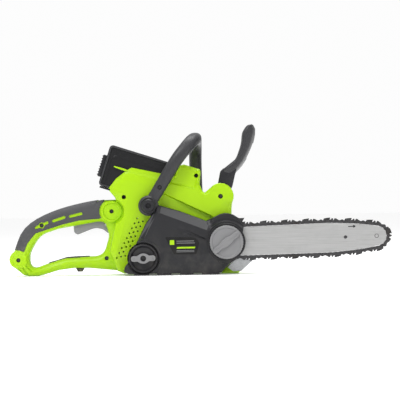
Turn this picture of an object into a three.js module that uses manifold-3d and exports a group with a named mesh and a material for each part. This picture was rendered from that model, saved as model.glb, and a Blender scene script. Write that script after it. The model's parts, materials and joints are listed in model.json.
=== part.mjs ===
// A battery chainsaw with a 30 cm bar, in millimetres.
// +X runs forward along the bar, +Y to the operator's left, +Z up. The origin lies on the ground
// under the middle of the saw, so the chain cover and its knob face -Y.
import * as THREE from "three";
import { mergeVertices } from "three/addons/utils/BufferGeometryUtils.js";
import Module from "manifold-3d";

const wasm = await Module();
wasm.setup();

// ---------------------------------------------------------------- driving dimensions
const rad = THREE.MathUtils.degToRad;
const GAP = 0.3; // between pieces that touch
const RUN = 0.5; // round pieces that turn or slide
const WALL = 3; // moulded wall
const SEAM = 0.15; // each shell half stops this far from the middle plane
const BODY_HALF = 43.4; // half width of the motor housing
const HANDLE_HALF = 19; // half width of the rear handle
const GRIP_SKIN = 1.8; // soft skin on the rear handle
const GROUND_CLEAR = 2.6; // underside of the housing above the ground

const DRIVE = { x: -10, z: 57 }; // drive sprocket axis, which is also the origin of the bar
const BAR_TILT = rad(1.44); // the bar rises towards its nose
const BAR = {
  y: -52, thick: 4, tail: 34, rear: 95, rearHalf: 25.8, belly: 250, bellyHalf: 26.7, nose: 334.4,
  noseR: 18.5,
};
const STUD = { along: 59.2, r: 4 }; // clamping stud, measured along the bar
const CHAIN = { half: 3, inner: 0.4, outer: 8.5, driveR: 20.5 };

const GEAR = { module: 1.5, wheel: 40, pinion: 10, backlash: 0.35, y: [-38, -30] };
const CENTRES = ((GEAR.wheel + GEAR.pinion) * GEAR.module) / 2 + GEAR.backlash;
const MOTOR = { r: 27.5, y: [-23.5, 36], angle: rad(143) };
const SHAFT_R = 2.5; // motor shaft
const SPINDLE = { r: 5, y: [-60, -22] };
const BEARING = { r: 11 };
const COVER = { y: [-74, -43.8], wall: 3 };
const KNOB = { r: 31, y: [-91.5, -79.6] };
const RING = { r: 34.5, y: [-79.1, -74.4] };
const CAP = { x: -102.8, z: 30.9, r: 26, neckR: 19, y: [-79.5, -62] };
const GUARD = { x: 39.8, z: 142, hubR: 12, pinR: 3, half: 37, top: [-40, 74], thick: 9 };
const HANDLE_BAR = { r: 11.5, right: -56.5, left: 80 };
const HANDLE_FOOT = { x: -92.2, z: 126.8, r: 16 };
const BATTERY = { x: -160.7, z: 240.7, tilt: rad(18), long: 129, tall: 78, half: 37, corner: 7 };
const RING_PAD = { x: -161.4, z: 117.4, r: 20.3 };
const END_PAD = { x: -334.8, z: 30.6, r: 16.6 };
const TRIGGER = { x: -173, z: 93, half: 9, pinR: 2 };
const LOCK_BUTTON = { x: -196, z: 117, r: 7 };

// ---------------------------------------------------------------- materials
const finish = (colour, roughness, metalness = 0) =>
  new THREE.MeshStandardMaterial({ color: colour, roughness, metalness });
const LIME = finish(0x9fd80c, 0.42);
const GREY = finish(0x4b4b4e, 0.55);
const DARK = finish(0x2b2c2f, 0.5);
const BLACK = finish(0x151517, 0.5);
const RUBBER = finish(0x1a1a1b, 0.85);
const SOFT = finish(0x57585c, 0.8);
const PALE = finish(0x97979a, 0.5);
const STEEL = finish(0xb8b8b6, 0.35, 0.9);
const CHAIN_STEEL = finish(0x3a3a3c, 0.4, 0.9);
const ALUMINIUM = finish(0xa9abad, 0.45, 0.8);
const COPPER = finish(0xa86a34, 0.4, 0.8);
const BOARD = finish(0x1f5a33, 0.6);
const LABEL = finish(0x101010, 0.4);

// ---------------------------------------------------------------- solids and cuts
const saw = new THREE.Group();

// The closed solid of a geometry, with its shared corners merged.
function solid(geometry) {
  const bare = geometry.clone();
  bare.deleteAttribute("normal");
  bare.deleteAttribute("uv");
  const merged = mergeVertices(bare, 1e-4);
  return new wasm.Manifold(
    new wasm.Mesh({
      numProp: 3,
      vertProperties: new Float32Array(merged.attributes.position.array),
      triVerts: new Uint32Array(merged.index.array),
    }),
  );
}

function geometryOf(body) {
  const mesh = body.getMesh();
  const geometry = new THREE.BufferGeometry();
  geometry.setAttribute("position", new THREE.BufferAttribute(mesh.vertProperties, 3));
  geometry.setIndex(new THREE.BufferAttribute(mesh.triVerts, 1));
  geometry.computeVertexNormals();
  return geometry;
}

const join = (first, ...others) =>
  geometryOf(others.reduce((sum, other) => sum.add(solid(other)), solid(first)));
const cut = (first, ...others) =>
  geometryOf(others.reduce((rest, other) => rest.subtract(solid(other)), solid(first)));

function piece(name, geometry, material, parent = saw) {
  const mesh = new THREE.Mesh(geometry, material);
  mesh.name = name;
  parent.add(mesh);
  return mesh;
}

// ---------------------------------------------------------------- outlines in the X-Z plane
const at = (x, z) => new THREE.Vector2(x, z);
const points = (...pairs) => pairs.map(([x, z]) => at(x, z));

function arc(x, z, r, from, to, steps) {
  return Array.from({ length: steps + 1 }, (_, i) => {
    const angle = rad(from + ((to - from) * i) / steps);
    return at(x + r * Math.cos(angle), z + r * Math.sin(angle));
  });
}

const smooth = (through, steps) => new THREE.SplineCurve(through).getSpacedPoints(steps);
const circle = (x, z, r, sides = 24) => arc(x, z, r, 0, 360 - 360 / sides, sides - 1);

// An outline moved inwards by a distance, each corner along its own bisector.
function inset(outline, distance) {
  const side = THREE.ShapeUtils.isClockWise(outline) ? -1 : 1;
  const count = outline.length;
  return outline.map((corner, i) => {
    const before = corner.clone().sub(outline[(i + count - 1) % count]).normalize();
    const after = outline[(i + 1) % count].clone().sub(corner).normalize();
    const normalA = at(-before.y, before.x);
    const normalB = at(-after.y, after.x);
    const bisector = normalA.clone().add(normalB).normalize();
    const reach = (side * distance) / Math.max(bisector.dot(normalA), 0.45);
    return corner.clone().add(bisector.multiplyScalar(reach));
  });
}

// A slot with round ends between two points.
function capsule(from, to, width, steps = 6) {
  const angle = THREE.MathUtils.radToDeg(Math.atan2(to.y - from.y, to.x - from.x));
  return [
    ...arc(to.x, to.y, width / 2, angle - 90, angle + 90, steps),
    ...arc(from.x, from.y, width / 2, angle + 90, angle + 270, steps),
  ];
}

// An outline carried straight across the saw, from one Y to the other, with holes through it.
function prism(outline, y0, y1, holes = []) {
  const shape = new THREE.Shape(outline);
  shape.holes = holes.map((hole) => new THREE.Path(hole));
  const geometry = new THREE.ExtrudeGeometry(shape, { depth: y1 - y0, bevelEnabled: false });
  return geometry.rotateX(Math.PI / 2).translate(0, y1, 0);
}

const block = (x0, x1, y0, y1, z0, z1) =>
  new THREE.BoxGeometry(x1 - x0, y1 - y0, z1 - z0).translate(
    (x0 + x1) / 2, (y0 + y1) / 2, (z0 + z1) / 2,
  );
const disc = (x, z, r, y0, y1, sides = 28) =>
  new THREE.CylinderGeometry(r, r, y1 - y0, sides).translate(x, (y0 + y1) / 2, z);

// A turned piece about a line along Y: its profile is a list of [radius, y].
function turned(x, z, profile, sides = 28) {
  const section = profile.map(([r, y]) => at(r, y));
  if (THREE.ShapeUtils.isClockWise(section)) section.reverse();
  return new THREE.LatheGeometry(section, sides).translate(x, 0, z);
}

const tube = (x, z, inner, outer, y0, y1, sides = 28) =>
  turned(x, z, [[inner, y0], [outer, y0], [outer, y1], [inner, y1], [inner, y0]], sides);

// A round rod bent along a smooth line.
function rod(through, r, steps, sides = 10) {
  const path = new THREE.CatmullRomCurve3(
    through.map((p) => new THREE.Vector3(...p)), false, "centripetal",
  );
  const section = new THREE.Shape(circle(0, 0, r, sides));
  return new THREE.ExtrudeGeometry(section, { steps, extrudePath: path, bevelEnabled: false });
}

// A close-wound spring as one helical rod along Y.
function spring(x, z, r, wire, y0, y1, turns) {
  const count = turns * 8;
  const through = Array.from({ length: count + 1 }, (_, i) => {
    const angle = (i / 8) * 2 * Math.PI;
    return [x + r * Math.cos(angle), y0 + ((y1 - y0) * i) / count, z + r * Math.sin(angle)];
  });
  return rod(through, wire, count, 6);
}

// ---------------------------------------------------------------- shell outlines
const toe = points([39, 2.6], [41, 0.6], [70.3, 0.6], [74, 4], [56.3, 12.5]);
const lobe = arc(GUARD.x, GUARD.z, 24.4, -28, 140, 10);
const bodyKeel = points([-151, 7.7], [-139, GROUND_CLEAR]);
const bodyUpper = [
  ...points([58, 30], [60, 119.6]),
  ...lobe,
  ...points(
    [11.2, 149.4], [6.6, 152.5], [2, 164.7], [4.2, 188.2], [2, 192.5], [-26.5, 201.7], [-36.4, 199],
  ),
  ...points([-44, 180], [-122.6, 197.4], [-133, 191.8], [-152, 177], [-166.8, 158.5], [-154, 142.8]),
  ...points([-148, 120], [-158, 75], [-165, 45]),
];
const bodyOutline = [...bodyKeel, ...toe, ...bodyUpper];
const bodyHollow = inset([...bodyKeel, at(56, GROUND_CLEAR), ...bodyUpper], WALL);

const gripTop = smooth(
  points([-172, 140.6], [-210.4, 135.2], [-260, 122.8], [-301.8, 104.7], [-327.6, 82.6], [-342, 49]),
  14,
);
const handleEnd = arc(END_PAD.x, END_PAD.z, END_PAD.r, 125, 225, 6);
const handleUnder = points(
  [-326, 2], [-317, 0], [-299, 0], [-289, 2], [-261, 10], [-232.8, 13.6], [-204.6, 13.3], [-150, 7.7],
);
const fingerLoop = [
  ...points(
    [-166, 74], [-174.7, 46], [-180.3, 39.1], [-190.3, 35], [-211.5, 34.6], [-246.6, 33.1],
    [-274.9, 25.1],
  ),
  ...arc(-303, 26.5, 11, -72, -180, 5),
  ...points(
    [-314, 41.2], [-305.3, 58], [-298.1, 69.1], [-288.1, 77.4], [-259.8, 86.7], [-184.7, 98.8],
    [-176.7, 97.7],
  ),
];
// The core of the handle lies one skin below the soft grip.
const core = inset([...gripTop, at(-330, 44), at(-170, 90)], GRIP_SKIN).slice(0, gripTop.length);
const handleOutline = [at(-146, 139), ...core, ...handleEnd, ...handleUnder, at(-142, 10)];

// ---------------------------------------------------------------- battery frame
const batteryGroup = new THREE.Group();
batteryGroup.position.set(BATTERY.x, 0, BATTERY.z);
batteryGroup.rotation.y = BATTERY.tilt;
saw.add(batteryGroup);

// A box in the battery's own frame, turned into the saw's frame for cutting.
function batteryBlock(u0, u1, y0, y1, v0, v1) {
  return block(u0, u1, y0, y1, v0, v1).rotateY(BATTERY.tilt).translate(BATTERY.x, 0, BATTERY.z);
}

// ---------------------------------------------------------------- shells
const SCREW = { head: 3.4, shank: 1.9, hole: 4, post: 7, seat: -11, top: -14, end: 12 };
const screwPlaces = {
  screw_upper_rear: { x: -137.6, z: 143.3, half: BODY_HALF },
  screw_upper_front: { x: -4.3, z: 180.6, half: BODY_HALF },
  screw_handle_root: { x: -171.8, z: 31.2, half: HANDLE_HALF },
  screw_ring_pad: { x: RING_PAD.x, z: RING_PAD.z, half: HANDLE_HALF },
  screw_grip: { x: -290.8, z: 93.3, half: HANDLE_HALF },
  screw_end_pad: { x: END_PAD.x, z: END_PAD.z - 1, half: HANDLE_HALF },
};
const studX = DRIVE.x + STUD.along * Math.cos(BAR_TILT);
const studZ = DRIVE.z + STUD.along * Math.sin(BAR_TILT);
const cavity = BODY_HALF - WALL;
const padHalf = HANDLE_HALF + 5;
const bayFloor = -BATTERY.tall - 4.2;
const bayEnd = BATTERY.long + 4.2;

// One moulded half: side -1 is the chain side, side 1 the operator's left.
function shellHalf(side) {
  const across = (inner, outer) => (side < 0 ? [-outer, -inner] : [inner, outer]);
  const outer = join(
    prism(bodyOutline, ...across(SEAM, BODY_HALF)),
    prism(handleOutline, ...across(SEAM, HANDLE_HALF), [fingerLoop]),
    disc(RING_PAD.x, RING_PAD.z, RING_PAD.r, ...across(SEAM, padHalf)),
  );
  const hollow = cut(
    outer,
    prism(bodyHollow, ...across(-1, cavity)),
    prism(inset(handleOutline, WALL), ...across(-1, HANDLE_HALF - WALL), [inset(fingerLoop, -WALL)]),
  );
  const places = Object.values(screwPlaces);
  const posts = places.map(({ x, z, half }) => disc(x, z, SCREW.post, ...across(SEAM, half - 1), 12));
  const sinks = side < 0 ? places.map(({ x, z }) => disc(x, z, SCREW.hole, -50, SCREW.seat, 12)) : [];
  const shanks = places.map(({ x, z }) => disc(x, z, SCREW.shank + GAP, -30, SCREW.end + 1, 12));
  return cut(
    join(hollow, ...posts),
    ...sinks,
    ...shanks,
    batteryBlock(-60, bayEnd, -cavity, cavity, bayFloor, 90),
    block(26, 96, -cavity, cavity, 131, 200),
    block(-237, -163, -TRIGGER.half - RUN, TRIGGER.half + RUN, 70, 110),
    disc(GUARD.x, GUARD.z, GUARD.pinR + GAP, -60, 60, 16),
    disc(TRIGGER.x, TRIGGER.z, TRIGGER.pinR + GAP, -15, 15, 12),
  );
}

piece(
  "right_shell",
  cut(
    shellHalf(-1),
    disc(DRIVE.x, DRIVE.z, BEARING.r + GAP, -60, -30),
    disc(CAP.x, CAP.z, CAP.neckR + GAP, -60, -30),
    disc(studX, studZ, STUD.r + GAP, -60, -30, 16),
  ),
  LIME,
);
piece(
  "left_shell",
  cut(shellHalf(1), disc(LOCK_BUTTON.x, LOCK_BUTTON.z, LOCK_BUTTON.r + RUN, 10, 30)),
  LIME,
);

for (const [name, { x, z }] of Object.entries(screwPlaces)) {
  const profile = [[0, SCREW.end], [SCREW.shank, SCREW.end], [SCREW.shank, SCREW.seat - GAP]];
  profile.push([SCREW.head, SCREW.seat - GAP], [SCREW.head, SCREW.top], [0, SCREW.top]);
  piece(name, turned(x, z, profile, 12), BLACK);
}

// Soft grip: a skin over the top of the rear handle, with three slots that show the core.
const gripUnder = points([-184, 104], [-221, 101.5], [-254, 94], [-303, 78.5], [-318, 60], [-324, 45]);
const gripOutline = [...gripTop.slice(1), ...gripUnder.reverse()];
const gripSlots = [
  capsule(at(-302, 85), at(-277, 94), 6.8),
  capsule(at(-272, 97), at(-247, 105), 6.8),
  capsule(at(-241, 106), at(-216, 111.5), 6.8),
];
const coreWithGap = prism(
  inset(handleOutline, -GAP), -HANDLE_HALF - GAP, HANDLE_HALF + GAP, [inset(fingerLoop, GAP)],
);
const gripHalf = HANDLE_HALF + GRIP_SKIN;
const padClear = disc(RING_PAD.x, RING_PAD.z, RING_PAD.r + GAP, -40, 40);
const endClear = disc(END_PAD.x, END_PAD.z, END_PAD.r + GAP, -40, 40);

function gripSkin(y0, y1, ...more) {
  const slots = gripSlots.map((slot) => prism(slot, y0 - 1, y1 + 1));
  return cut(prism(gripOutline, y0, y1), coreWithGap, padClear, endClear, ...slots, ...more);
}
piece("grip_right", gripSkin(-gripHalf, -SEAM), SOFT);
piece(
  "grip_left",
  gripSkin(SEAM, gripHalf, disc(LOCK_BUTTON.x, LOCK_BUTTON.z, LOCK_BUTTON.r + RUN, 10, 30)),
  SOFT,
);

// Rubber feet: four pads on one strip under the housing, and a stud under the lower bar.
const padSpans = [[-120, -94], [-78, -53], [-36, -12], [4, 36]];
const strip = block(-120, 36, -20, 20, 1.2, GROUND_CLEAR - GAP);
piece(
  "base_feet",
  join(strip, ...padSpans.map(([x0, x1]) => block(x0, x1, -38, 38, 0, GROUND_CLEAR - GAP))), RUBBER,
);
piece(
  "lower_bar_stud",
  prism(points([-229.3, 13.2], [-225.7, 6.7], [-217.6, 6.6], [-213.8, 13]), -8, 8),
  RUBBER,
);

// ---------------------------------------------------------------- chain cover
const coverOutline = [
  ...points([-74, 127.8], [-99, 92.5], [-115.6, 57.9]),
  ...arc(CAP.x, CAP.z, 29.5, 135, 195, 5),
  ...points(
    [-137, 15.6], [-138.8, 7], [-130.6, 2.9], [39.2, 2.9], [47.1, 12], [56.4, 19.9], [71.2, 30.9],
  ),
  ...points([78.7, 69.4], [80.8, 85.2]),
  ...arc(48.5, 79, 32.4, 20, 125, 7),
  ...points([12.6, 97.9], [-35.9, 116.5]),
];
const coverBumps = padSpans.map(([x0, x1]) => block(x0, x1, COVER.y[0] + 1, COVER.y[0] + 14, 0.4, 4));
const studBoss = tube(studX, studZ, 9, 14, -72, BAR.y - BAR.thick / 2 - RUN);
piece(
  "chain_cover",
  cut(
    join(
      cut(
        prism(coverOutline, ...COVER.y),
        prism(inset(coverOutline, COVER.wall), COVER.y[0] + COVER.wall, -40),
      ),
      studBoss,
      ...coverBumps,
    ),
    block(44, 100, -60, -40, 0, 112),
    disc(studX, studZ, 9, -80, -60),
    disc(CAP.x, CAP.z, CAP.r + 1, -80, -40),
    disc(HANDLE_FOOT.x, HANDLE_FOOT.z, HANDLE_FOOT.r + 0.6, -80, -40),
  ),
  DARK,
);
piece(
  "label_plate",
  prism(
    points([-62.4, 69.3], [-8.9, 68.4], [-0.5, 59.1], [-5.9, 36.5], [-46.7, 37.2]), COVER.y[0] - 1.1,
    COVER.y[0] - GAP,
  ),
  LABEL,
);

// ---------------------------------------------------------------- front handle
const handlePath = [
  [HANDLE_FOOT.x, HANDLE_BAR.right, HANDLE_FOOT.z], [-66, HANDLE_BAR.right, 168], [
    -41, HANDLE_BAR.right, 208,
  ],
  [-23, -50, 231], [-11, -36, 244.5], [-6, -15, 248.5], [-5, 25, 249], [-5, 52, 246], [-5, 71, 232],
  [-5.5, HANDLE_BAR.left - 1, 208], [-5, HANDLE_BAR.left, 170], [-4, HANDLE_BAR.left - 2, 136],
  [-4, 66, 114], [-4, BODY_HALF + GAP, 104],
];
const handleFoot = disc(HANDLE_FOOT.x, HANDLE_FOOT.z, HANDLE_FOOT.r, -67.5, -BODY_HALF - GAP);
piece(
  "front_handle",
  cut(
    join(
      rod(handlePath, HANDLE_BAR.r, 38, 12), handleFoot,
      disc(-4, 104, 15, BODY_HALF + GAP, BODY_HALF + 5),
    ),
    block(-60, 60, 0, BODY_HALF + GAP, 60, 150),
    disc(-71.1, 159.9, 4, -80, -61, 16),
    disc(-71.1, 159.9, 2.4, -80, -50, 12),
  ),
  GREY,
);
piece(
  "handle_bolt",
  cut(
    disc(HANDLE_FOOT.x, HANDLE_FOOT.z, 11, -72.4, -68.4),
    disc(HANDLE_FOOT.x, HANDLE_FOOT.z, 4.6, -73, -70, 6),
  ),
  BLACK,
);
piece(
  "handle_screw",
  turned(-71.1, 159.9, [[0, -65], [3.5, -65], [3.5, -61.4], [2, -61.4], [2, -52], [0, -52]], 12), BLACK,
);

// ---------------------------------------------------------------- hand guard and its brake switch
const guardArm = points(
  [27.8, 142], [36, 166], [40.3, 187.3], [45.3, 191.4], [70.5, 191.7], [67.6, 182.6], [62.2, 160],
  [51.8, 142],
);
const guardShield = [
  ...points(
    [40.3, 187.3], [45.3, 191.4], [59.5, 202.4], [70.9, 212.2], [78.1, 228.8], [82, 242.9],
    [83.7, 265.3],
  ),
  ...points(
    [93, 272.4], [101.5, 273.5], [104, 262.3], [103.9, 252.5], [99.4, 235.6], [92.1, 218.8],
    [79.2, 200.6],
  ),
  ...points([70.5, 191.7], [67.6, 182.6]),
];
const guardWindow = block(40, 120, -16, 50, 214, 238);
piece(
  "hand_guard",
  cut(
    join(
      cut(prism(guardShield, ...GUARD.top), guardWindow),
      prism(guardArm, -GUARD.half, -GUARD.half + GUARD.thick),
      prism(guardArm, GUARD.half - GUARD.thick, GUARD.half),
      disc(GUARD.x, GUARD.z, GUARD.hubR, -GUARD.half, GUARD.half),
    ),
    disc(GUARD.x, GUARD.z, GUARD.pinR + RUN, -60, 60, 16),
  ),
  GREY,
);
piece("guard_pin", disc(GUARD.x, GUARD.z, GUARD.pinR, -BODY_HALF + 1, BODY_HALF - 1, 16), STEEL);
piece("brake_switch", block(8, 23, -12, 4, 118, 130), BLACK);

// ---------------------------------------------------------------- trigger, switch and lock-off button
const triggerOutline = [
  ...points(
    [-232.5, 95], [-231.7, 79.3], [-225.5, 74.9], [-199.2, 85.2], [-189.5, 87.1], [-176.8, 84.1],
  ),
  ...points([-169.9, 77.6], [-165.7, 78.2], [-167, 96]),
  ...arc(TRIGGER.x, TRIGGER.z + 2, 6, 10, 90, 4),
  ...points([-226, 99]),
];
piece(
  "trigger",
  cut(
    prism(triggerOutline, -TRIGGER.half, TRIGGER.half),
    disc(TRIGGER.x, TRIGGER.z, TRIGGER.pinR + RUN, -20, 20, 12),
  ),
  PALE,
);
piece(
  "trigger_pin", disc(TRIGGER.x, TRIGGER.z, TRIGGER.pinR, -TRIGGER.half - 5, TRIGGER.half + 5, 12),
  STEEL,
);
piece("trigger_switch", block(-223, -203, -8, 8, 109, 122), BLACK);
const coil = (r, wire, length, turns) => spring(0, 0, r, wire, 0, length, turns);
piece("trigger_spring", coil(3.2, 0.5, 8.4, 4).rotateX(Math.PI / 2).translate(-212, 0, 100.1), STEEL);
piece(
  "lock_off_button",
  turned(
    LOCK_BUTTON.x, LOCK_BUTTON.z,
    [[0, 8], [LOCK_BUTTON.r, 8], [LOCK_BUTTON.r, 24], [LOCK_BUTTON.r - 1.5, 25.5], [0, 25.5]], 20,
  ),
  BLACK,
);
piece("lock_off_spring", coil(4, 0.5, 10, 4).translate(LOCK_BUTTON.x, -2.8, LOCK_BUTTON.z), STEEL);

// ---------------------------------------------------------------- battery and its bay
const pack = [
  ...arc(BATTERY.corner - 1, -BATTERY.tall + BATTERY.corner, BATTERY.corner, 180, 270, 4),
  ...points(
    [BATTERY.long, -BATTERY.tall], [BATTERY.long, -2], [BATTERY.long - 2, 0], [2, 0], [0, -2],
    [-1, -18],
  ),
];
piece(
  "battery_pack",
  cut(
    prism(pack, -BATTERY.half, BATTERY.half),
    block(114, 140, -21, 21, -90, -58),
    block(-10, 6, -24, 24, -64, -20),
  ),
  BLACK,
  batteryGroup,
);
piece(
  "battery_latch",
  prism(points([-8.5, -60], [-8.5, -24], [-5, -21], [1.5, -21], [1.5, -63], [-5, -63]), -23, 23),
  DARK,
  batteryGroup,
);
const innerHalf = cavity - GAP;
piece(
  "battery_cradle",
  join(
    block(4, BATTERY.long + 3.6, -innerHalf, innerHalf, bayFloor + GAP, -BATTERY.tall - 0.6),
    block(BATTERY.long + 0.6, BATTERY.long + 3.6, -innerHalf, innerHalf, bayFloor + GAP, -14),
  ),
  BLACK,
  batteryGroup,
);
piece("terminal_block", block(117, BATTERY.long, -18, 18, -BATTERY.tall, -61), COPPER, batteryGroup);

// ---------------------------------------------------------------- motor and gears
const motorX = DRIVE.x + CENTRES * Math.cos(MOTOR.angle);
const motorZ = DRIVE.z + CENTRES * Math.sin(MOTOR.angle);
const PRESSURE = rad(20);
const involute = (angle) => Math.tan(angle) - angle;

// A spur gear's outline: involute flanks of three points a side, one tooth centred on phase.
function gearOutline(x, z, teeth, module, phase, tipCut) {
  const pitchR = (teeth * module) / 2;
  const baseR = pitchR * Math.cos(PRESSURE);
  const radii = [
    pitchR - 1.25 * module, Math.max(baseR, pitchR - 0.6 * module), pitchR, pitchR + module - tipCut,
  ];
  const halfTooth = radii.map(
    (r) => Math.PI / (2 * teeth) + involute(PRESSURE) - involute(Math.acos(Math.min(baseR / r, 1))),
  );
  return Array.from({ length: teeth }, (_, i) => {
    const middle = phase + (2 * Math.PI * i) / teeth;
    const rising = radii.map((r, k) => [r, middle - halfTooth[k]]);
    const falling = radii.map((r, k) => [r, middle + halfTooth[k]]).reverse();
    return [...rising, ...falling].map(([r, a]) => at(x + r * Math.cos(a), z + r * Math.sin(a)));
  }).flat();
}

const wheelTeeth = gearOutline(DRIVE.x, DRIVE.z, GEAR.wheel, GEAR.module, MOTOR.angle, 0.3);
const pinionPhase = MOTOR.angle + Math.PI + Math.PI / GEAR.pinion;
const pinionTeeth = gearOutline(motorX, motorZ, GEAR.pinion, GEAR.module, pinionPhase, 0.2);
const bore = SPINDLE.r + GAP;
piece("drive_gear", prism(wheelTeeth, ...GEAR.y, [circle(DRIVE.x, DRIVE.z, bore, 20)]), STEEL);
piece(
  "motor_pinion", prism(pinionTeeth, ...GEAR.y, [circle(motorX, motorZ, SHAFT_R + GAP, 16)]), STEEL,
);
piece("spindle", disc(DRIVE.x, DRIVE.z, SPINDLE.r, ...SPINDLE.y, 20), STEEL);
piece("bearing_outer", tube(DRIVE.x, DRIVE.z, bore, BEARING.r, -43.2, -38.6), STEEL);
piece("bearing_inner", tube(DRIVE.x, DRIVE.z, bore, BEARING.r, -29.2, -24.4), STEEL);
const plateOutline = [
  ...arc(DRIVE.x, DRIVE.z, 17, -140, 45, 10),
  ...arc(motorX, motorZ, MOTOR.r + 1.5, 45, 220, 12),
];
piece(
  "gear_plate",
  prism(
    plateOutline, -29.2, -24.4, [circle(DRIVE.x, DRIVE.z, BEARING.r + GAP), circle(motorX, motorZ, 8)],
  ),
  ALUMINIUM,
);
const [can0, can1] = MOTOR.y;
const canProfile = [[SHAFT_R + RUN, can0], [MOTOR.r, can0], [MOTOR.r, can1], [SHAFT_R + RUN, can1]];
canProfile.push(
  [SHAFT_R + RUN, can1 - 3], [MOTOR.r - 3, can1 - 3], [MOTOR.r - 3, can0 + 3],
  [SHAFT_R + RUN, can0 + 3],
);
piece("motor_can", turned(motorX, motorZ, [...canProfile, canProfile[0]]), DARK);
const rotorProfile = [
  [0, -39], [SHAFT_R, -39], [SHAFT_R, -18], [22, -18], [22, 30], [SHAFT_R, 30], [SHAFT_R, 38], [0, 38],
];
piece("motor_rotor", turned(motorX, motorZ, rotorProfile), COPPER);

const sprocketTeeth = Array.from({ length: 6 }, (_, i) => {
  const middle = 60 * i;
  return [[11, -22], [16, -9], [16, 9], [11, 22]].map(([r, turn]) => {
    const angle = rad(middle + turn);
    return at(DRIVE.x + r * Math.cos(angle), DRIVE.z + r * Math.sin(angle));
  });
}).flat();
piece(
  "drive_sprocket", prism(sprocketTeeth, -56.5, -47.5, [circle(DRIVE.x, DRIVE.z, bore, 20)]), STEEL,
);
piece("sprocket_clip", tube(DRIVE.x, DRIVE.z, bore, 8.5, -58.2, -56.8, 20), CHAIN_STEEL);

const boardSpan = [-140, -84];
piece("controller_board", block(...boardSpan, -17.6, -16, 64, 104), BOARD);
const sinkFins = Array.from(
  { length: 6 }, (_, i) => block(-136 + i * 9, -133 + i * 9, -12.4, -2, 68, 100),
);
piece("controller_heat_sink", join(block(-138, -86, -15.7, -12, 68, 100), ...sinkFins), ALUMINIUM);
piece(
  "wire_loom",
  rod(
    [
      [-84, -24, 112], [-100, -22, 112], [-130, -16, 108], [-158, -13, 101], [-185, -13, 106],
      [-204, -13, 114],
    ],
    1.8, 20, 8,
  ),
  RUBBER,
);

// ---------------------------------------------------------------- bar, chain and clamp
const barGroup = new THREE.Group();
barGroup.position.set(DRIVE.x, 0, DRIVE.z);
barGroup.rotation.y = -BAR_TILT;
saw.add(barGroup);

// The bar's edge moved outwards by a distance, closed round the drive sprocket at its back.
function barLoop(out) {
  const nose = arc(BAR.nose, 0, BAR.noseR + out, -72, 72, 14);
  const upper = points(
    [300, 23.4 + out], [BAR.belly, BAR.bellyHalf + out], [BAR.rear, BAR.rearHalf + out],
  );
  const back = arc(0, 0, CHAIN.driveR + out, 100, 260, 14);
  return [...nose, ...upper, ...back, ...upper.map((p) => at(p.x, -p.y)).reverse()];
}
const barEdge = barLoop(0);
const faces = [BAR.y - BAR.thick / 2, BAR.y + BAR.thick / 2];
const barTail = block(-60, BAR.tail, -60, -40, -60, 60);
const barSlot = prism(capsule(at(45, 0), at(74, 0), 2 * STUD.r + 0.8), -60, -40);
const noseGroove = disc(BAR.nose, 0, BAR.noseR + 1, BAR.y - 1.2, BAR.y + 1.2, 32);
const tensionPlace = { along: 42, z: -14, r: 2.5 };
piece(
  "guide_bar",
  cut(
    prism(barEdge, ...faces),
    barTail,
    barSlot,
    noseGroove,
    disc(BAR.nose, 0, 3 + GAP, -60, -40, 16),
    disc(277, 0, 3, -60, -40, 16),
    disc(tensionPlace.along, tensionPlace.z, tensionPlace.r + GAP, -60, -40, 12),
  ),
  STEEL,
  barGroup,
);
piece(
  "saw_chain",
  prism(barLoop(CHAIN.outer), BAR.y - CHAIN.half, BAR.y + CHAIN.half, [barLoop(CHAIN.inner)]),
  CHAIN_STEEL,
  barGroup,
);
const noseTeeth = Array.from({ length: 7 }, (_, i) => {
  const tooth = [[13.5, -18], [18, -5], [18, 5], [13.5, 18]];
  return tooth.map(([r, turn]) => at(BAR.nose, 0).add(at(r, 0).rotateAround(
    at(0, 0), rad((360 / 7) * i + turn),
  )));
}).flat();
piece(
  "nose_sprocket", prism(noseTeeth, BAR.y - 0.9, BAR.y + 0.9, [circle(BAR.nose, 0, 3.5, 16)]), STEEL,
  barGroup,
);
piece("nose_rivet", disc(BAR.nose, 0, 3, faces[0] - 0.3, faces[1] + 0.3, 16), CHAIN_STEEL, barGroup);
piece(
  "tension_pin", disc(tensionPlace.along, tensionPlace.z, tensionPlace.r, -62, faces[1], 12), STEEL,
  barGroup,
);

piece("bar_stud", disc(studX, studZ, STUD.r, -86, -37, 16), STEEL);
piece(
  "bar_pad",
  prism(
    [...points([25, 42], [60, 42], [60, 75], [25, 75])], faces[1] + GAP, -BODY_HALF - GAP,
    [circle(studX, studZ, STUD.r + GAP, 16)],
  ),
  ALUMINIUM,
);
piece(
  "spiked_bumper",
  prism(
    points(
      [44, 84], [62, 84], [65, 42], [71, 45], [70, 84], [77, 91], [83, 102], [74, 101.5], [62, 106],
      [46, 103],
    ),
    -48.6, -43.8,
  ),
  BLACK,
);
piece(
  "chain_catcher",
  prism(points([50, 12], [61, 4.2], [75.9, 4.9], [97, 23.3], [75, 31.2], [62, 24]), -48.4, -44), PALE,
);

const [knob0, knob1] = KNOB.y;
const wing = prism(
  capsule(at(studX - 20, studZ - 15.6), at(studX + 20, studZ + 15.6), 11), knob0, knob0 + 4,
);
const knobProfile = [
  [STUD.r + RUN, -55.5], [8, -55.5], [8, knob1], [KNOB.r, knob1], [KNOB.r, knob0 + 5],
  [KNOB.r - 2, knob0 + 3],
];
knobProfile.push([0, knob0 + 3], [0, -86.6], [STUD.r + RUN, -86.6]);
piece("bar_knob", join(turned(studX, studZ, [...knobProfile, knobProfile[0]], 36), wing), PALE);
piece("tension_ring", tube(studX, studZ, 10, RING.r, ...RING.y, 36), BLACK);

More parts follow.
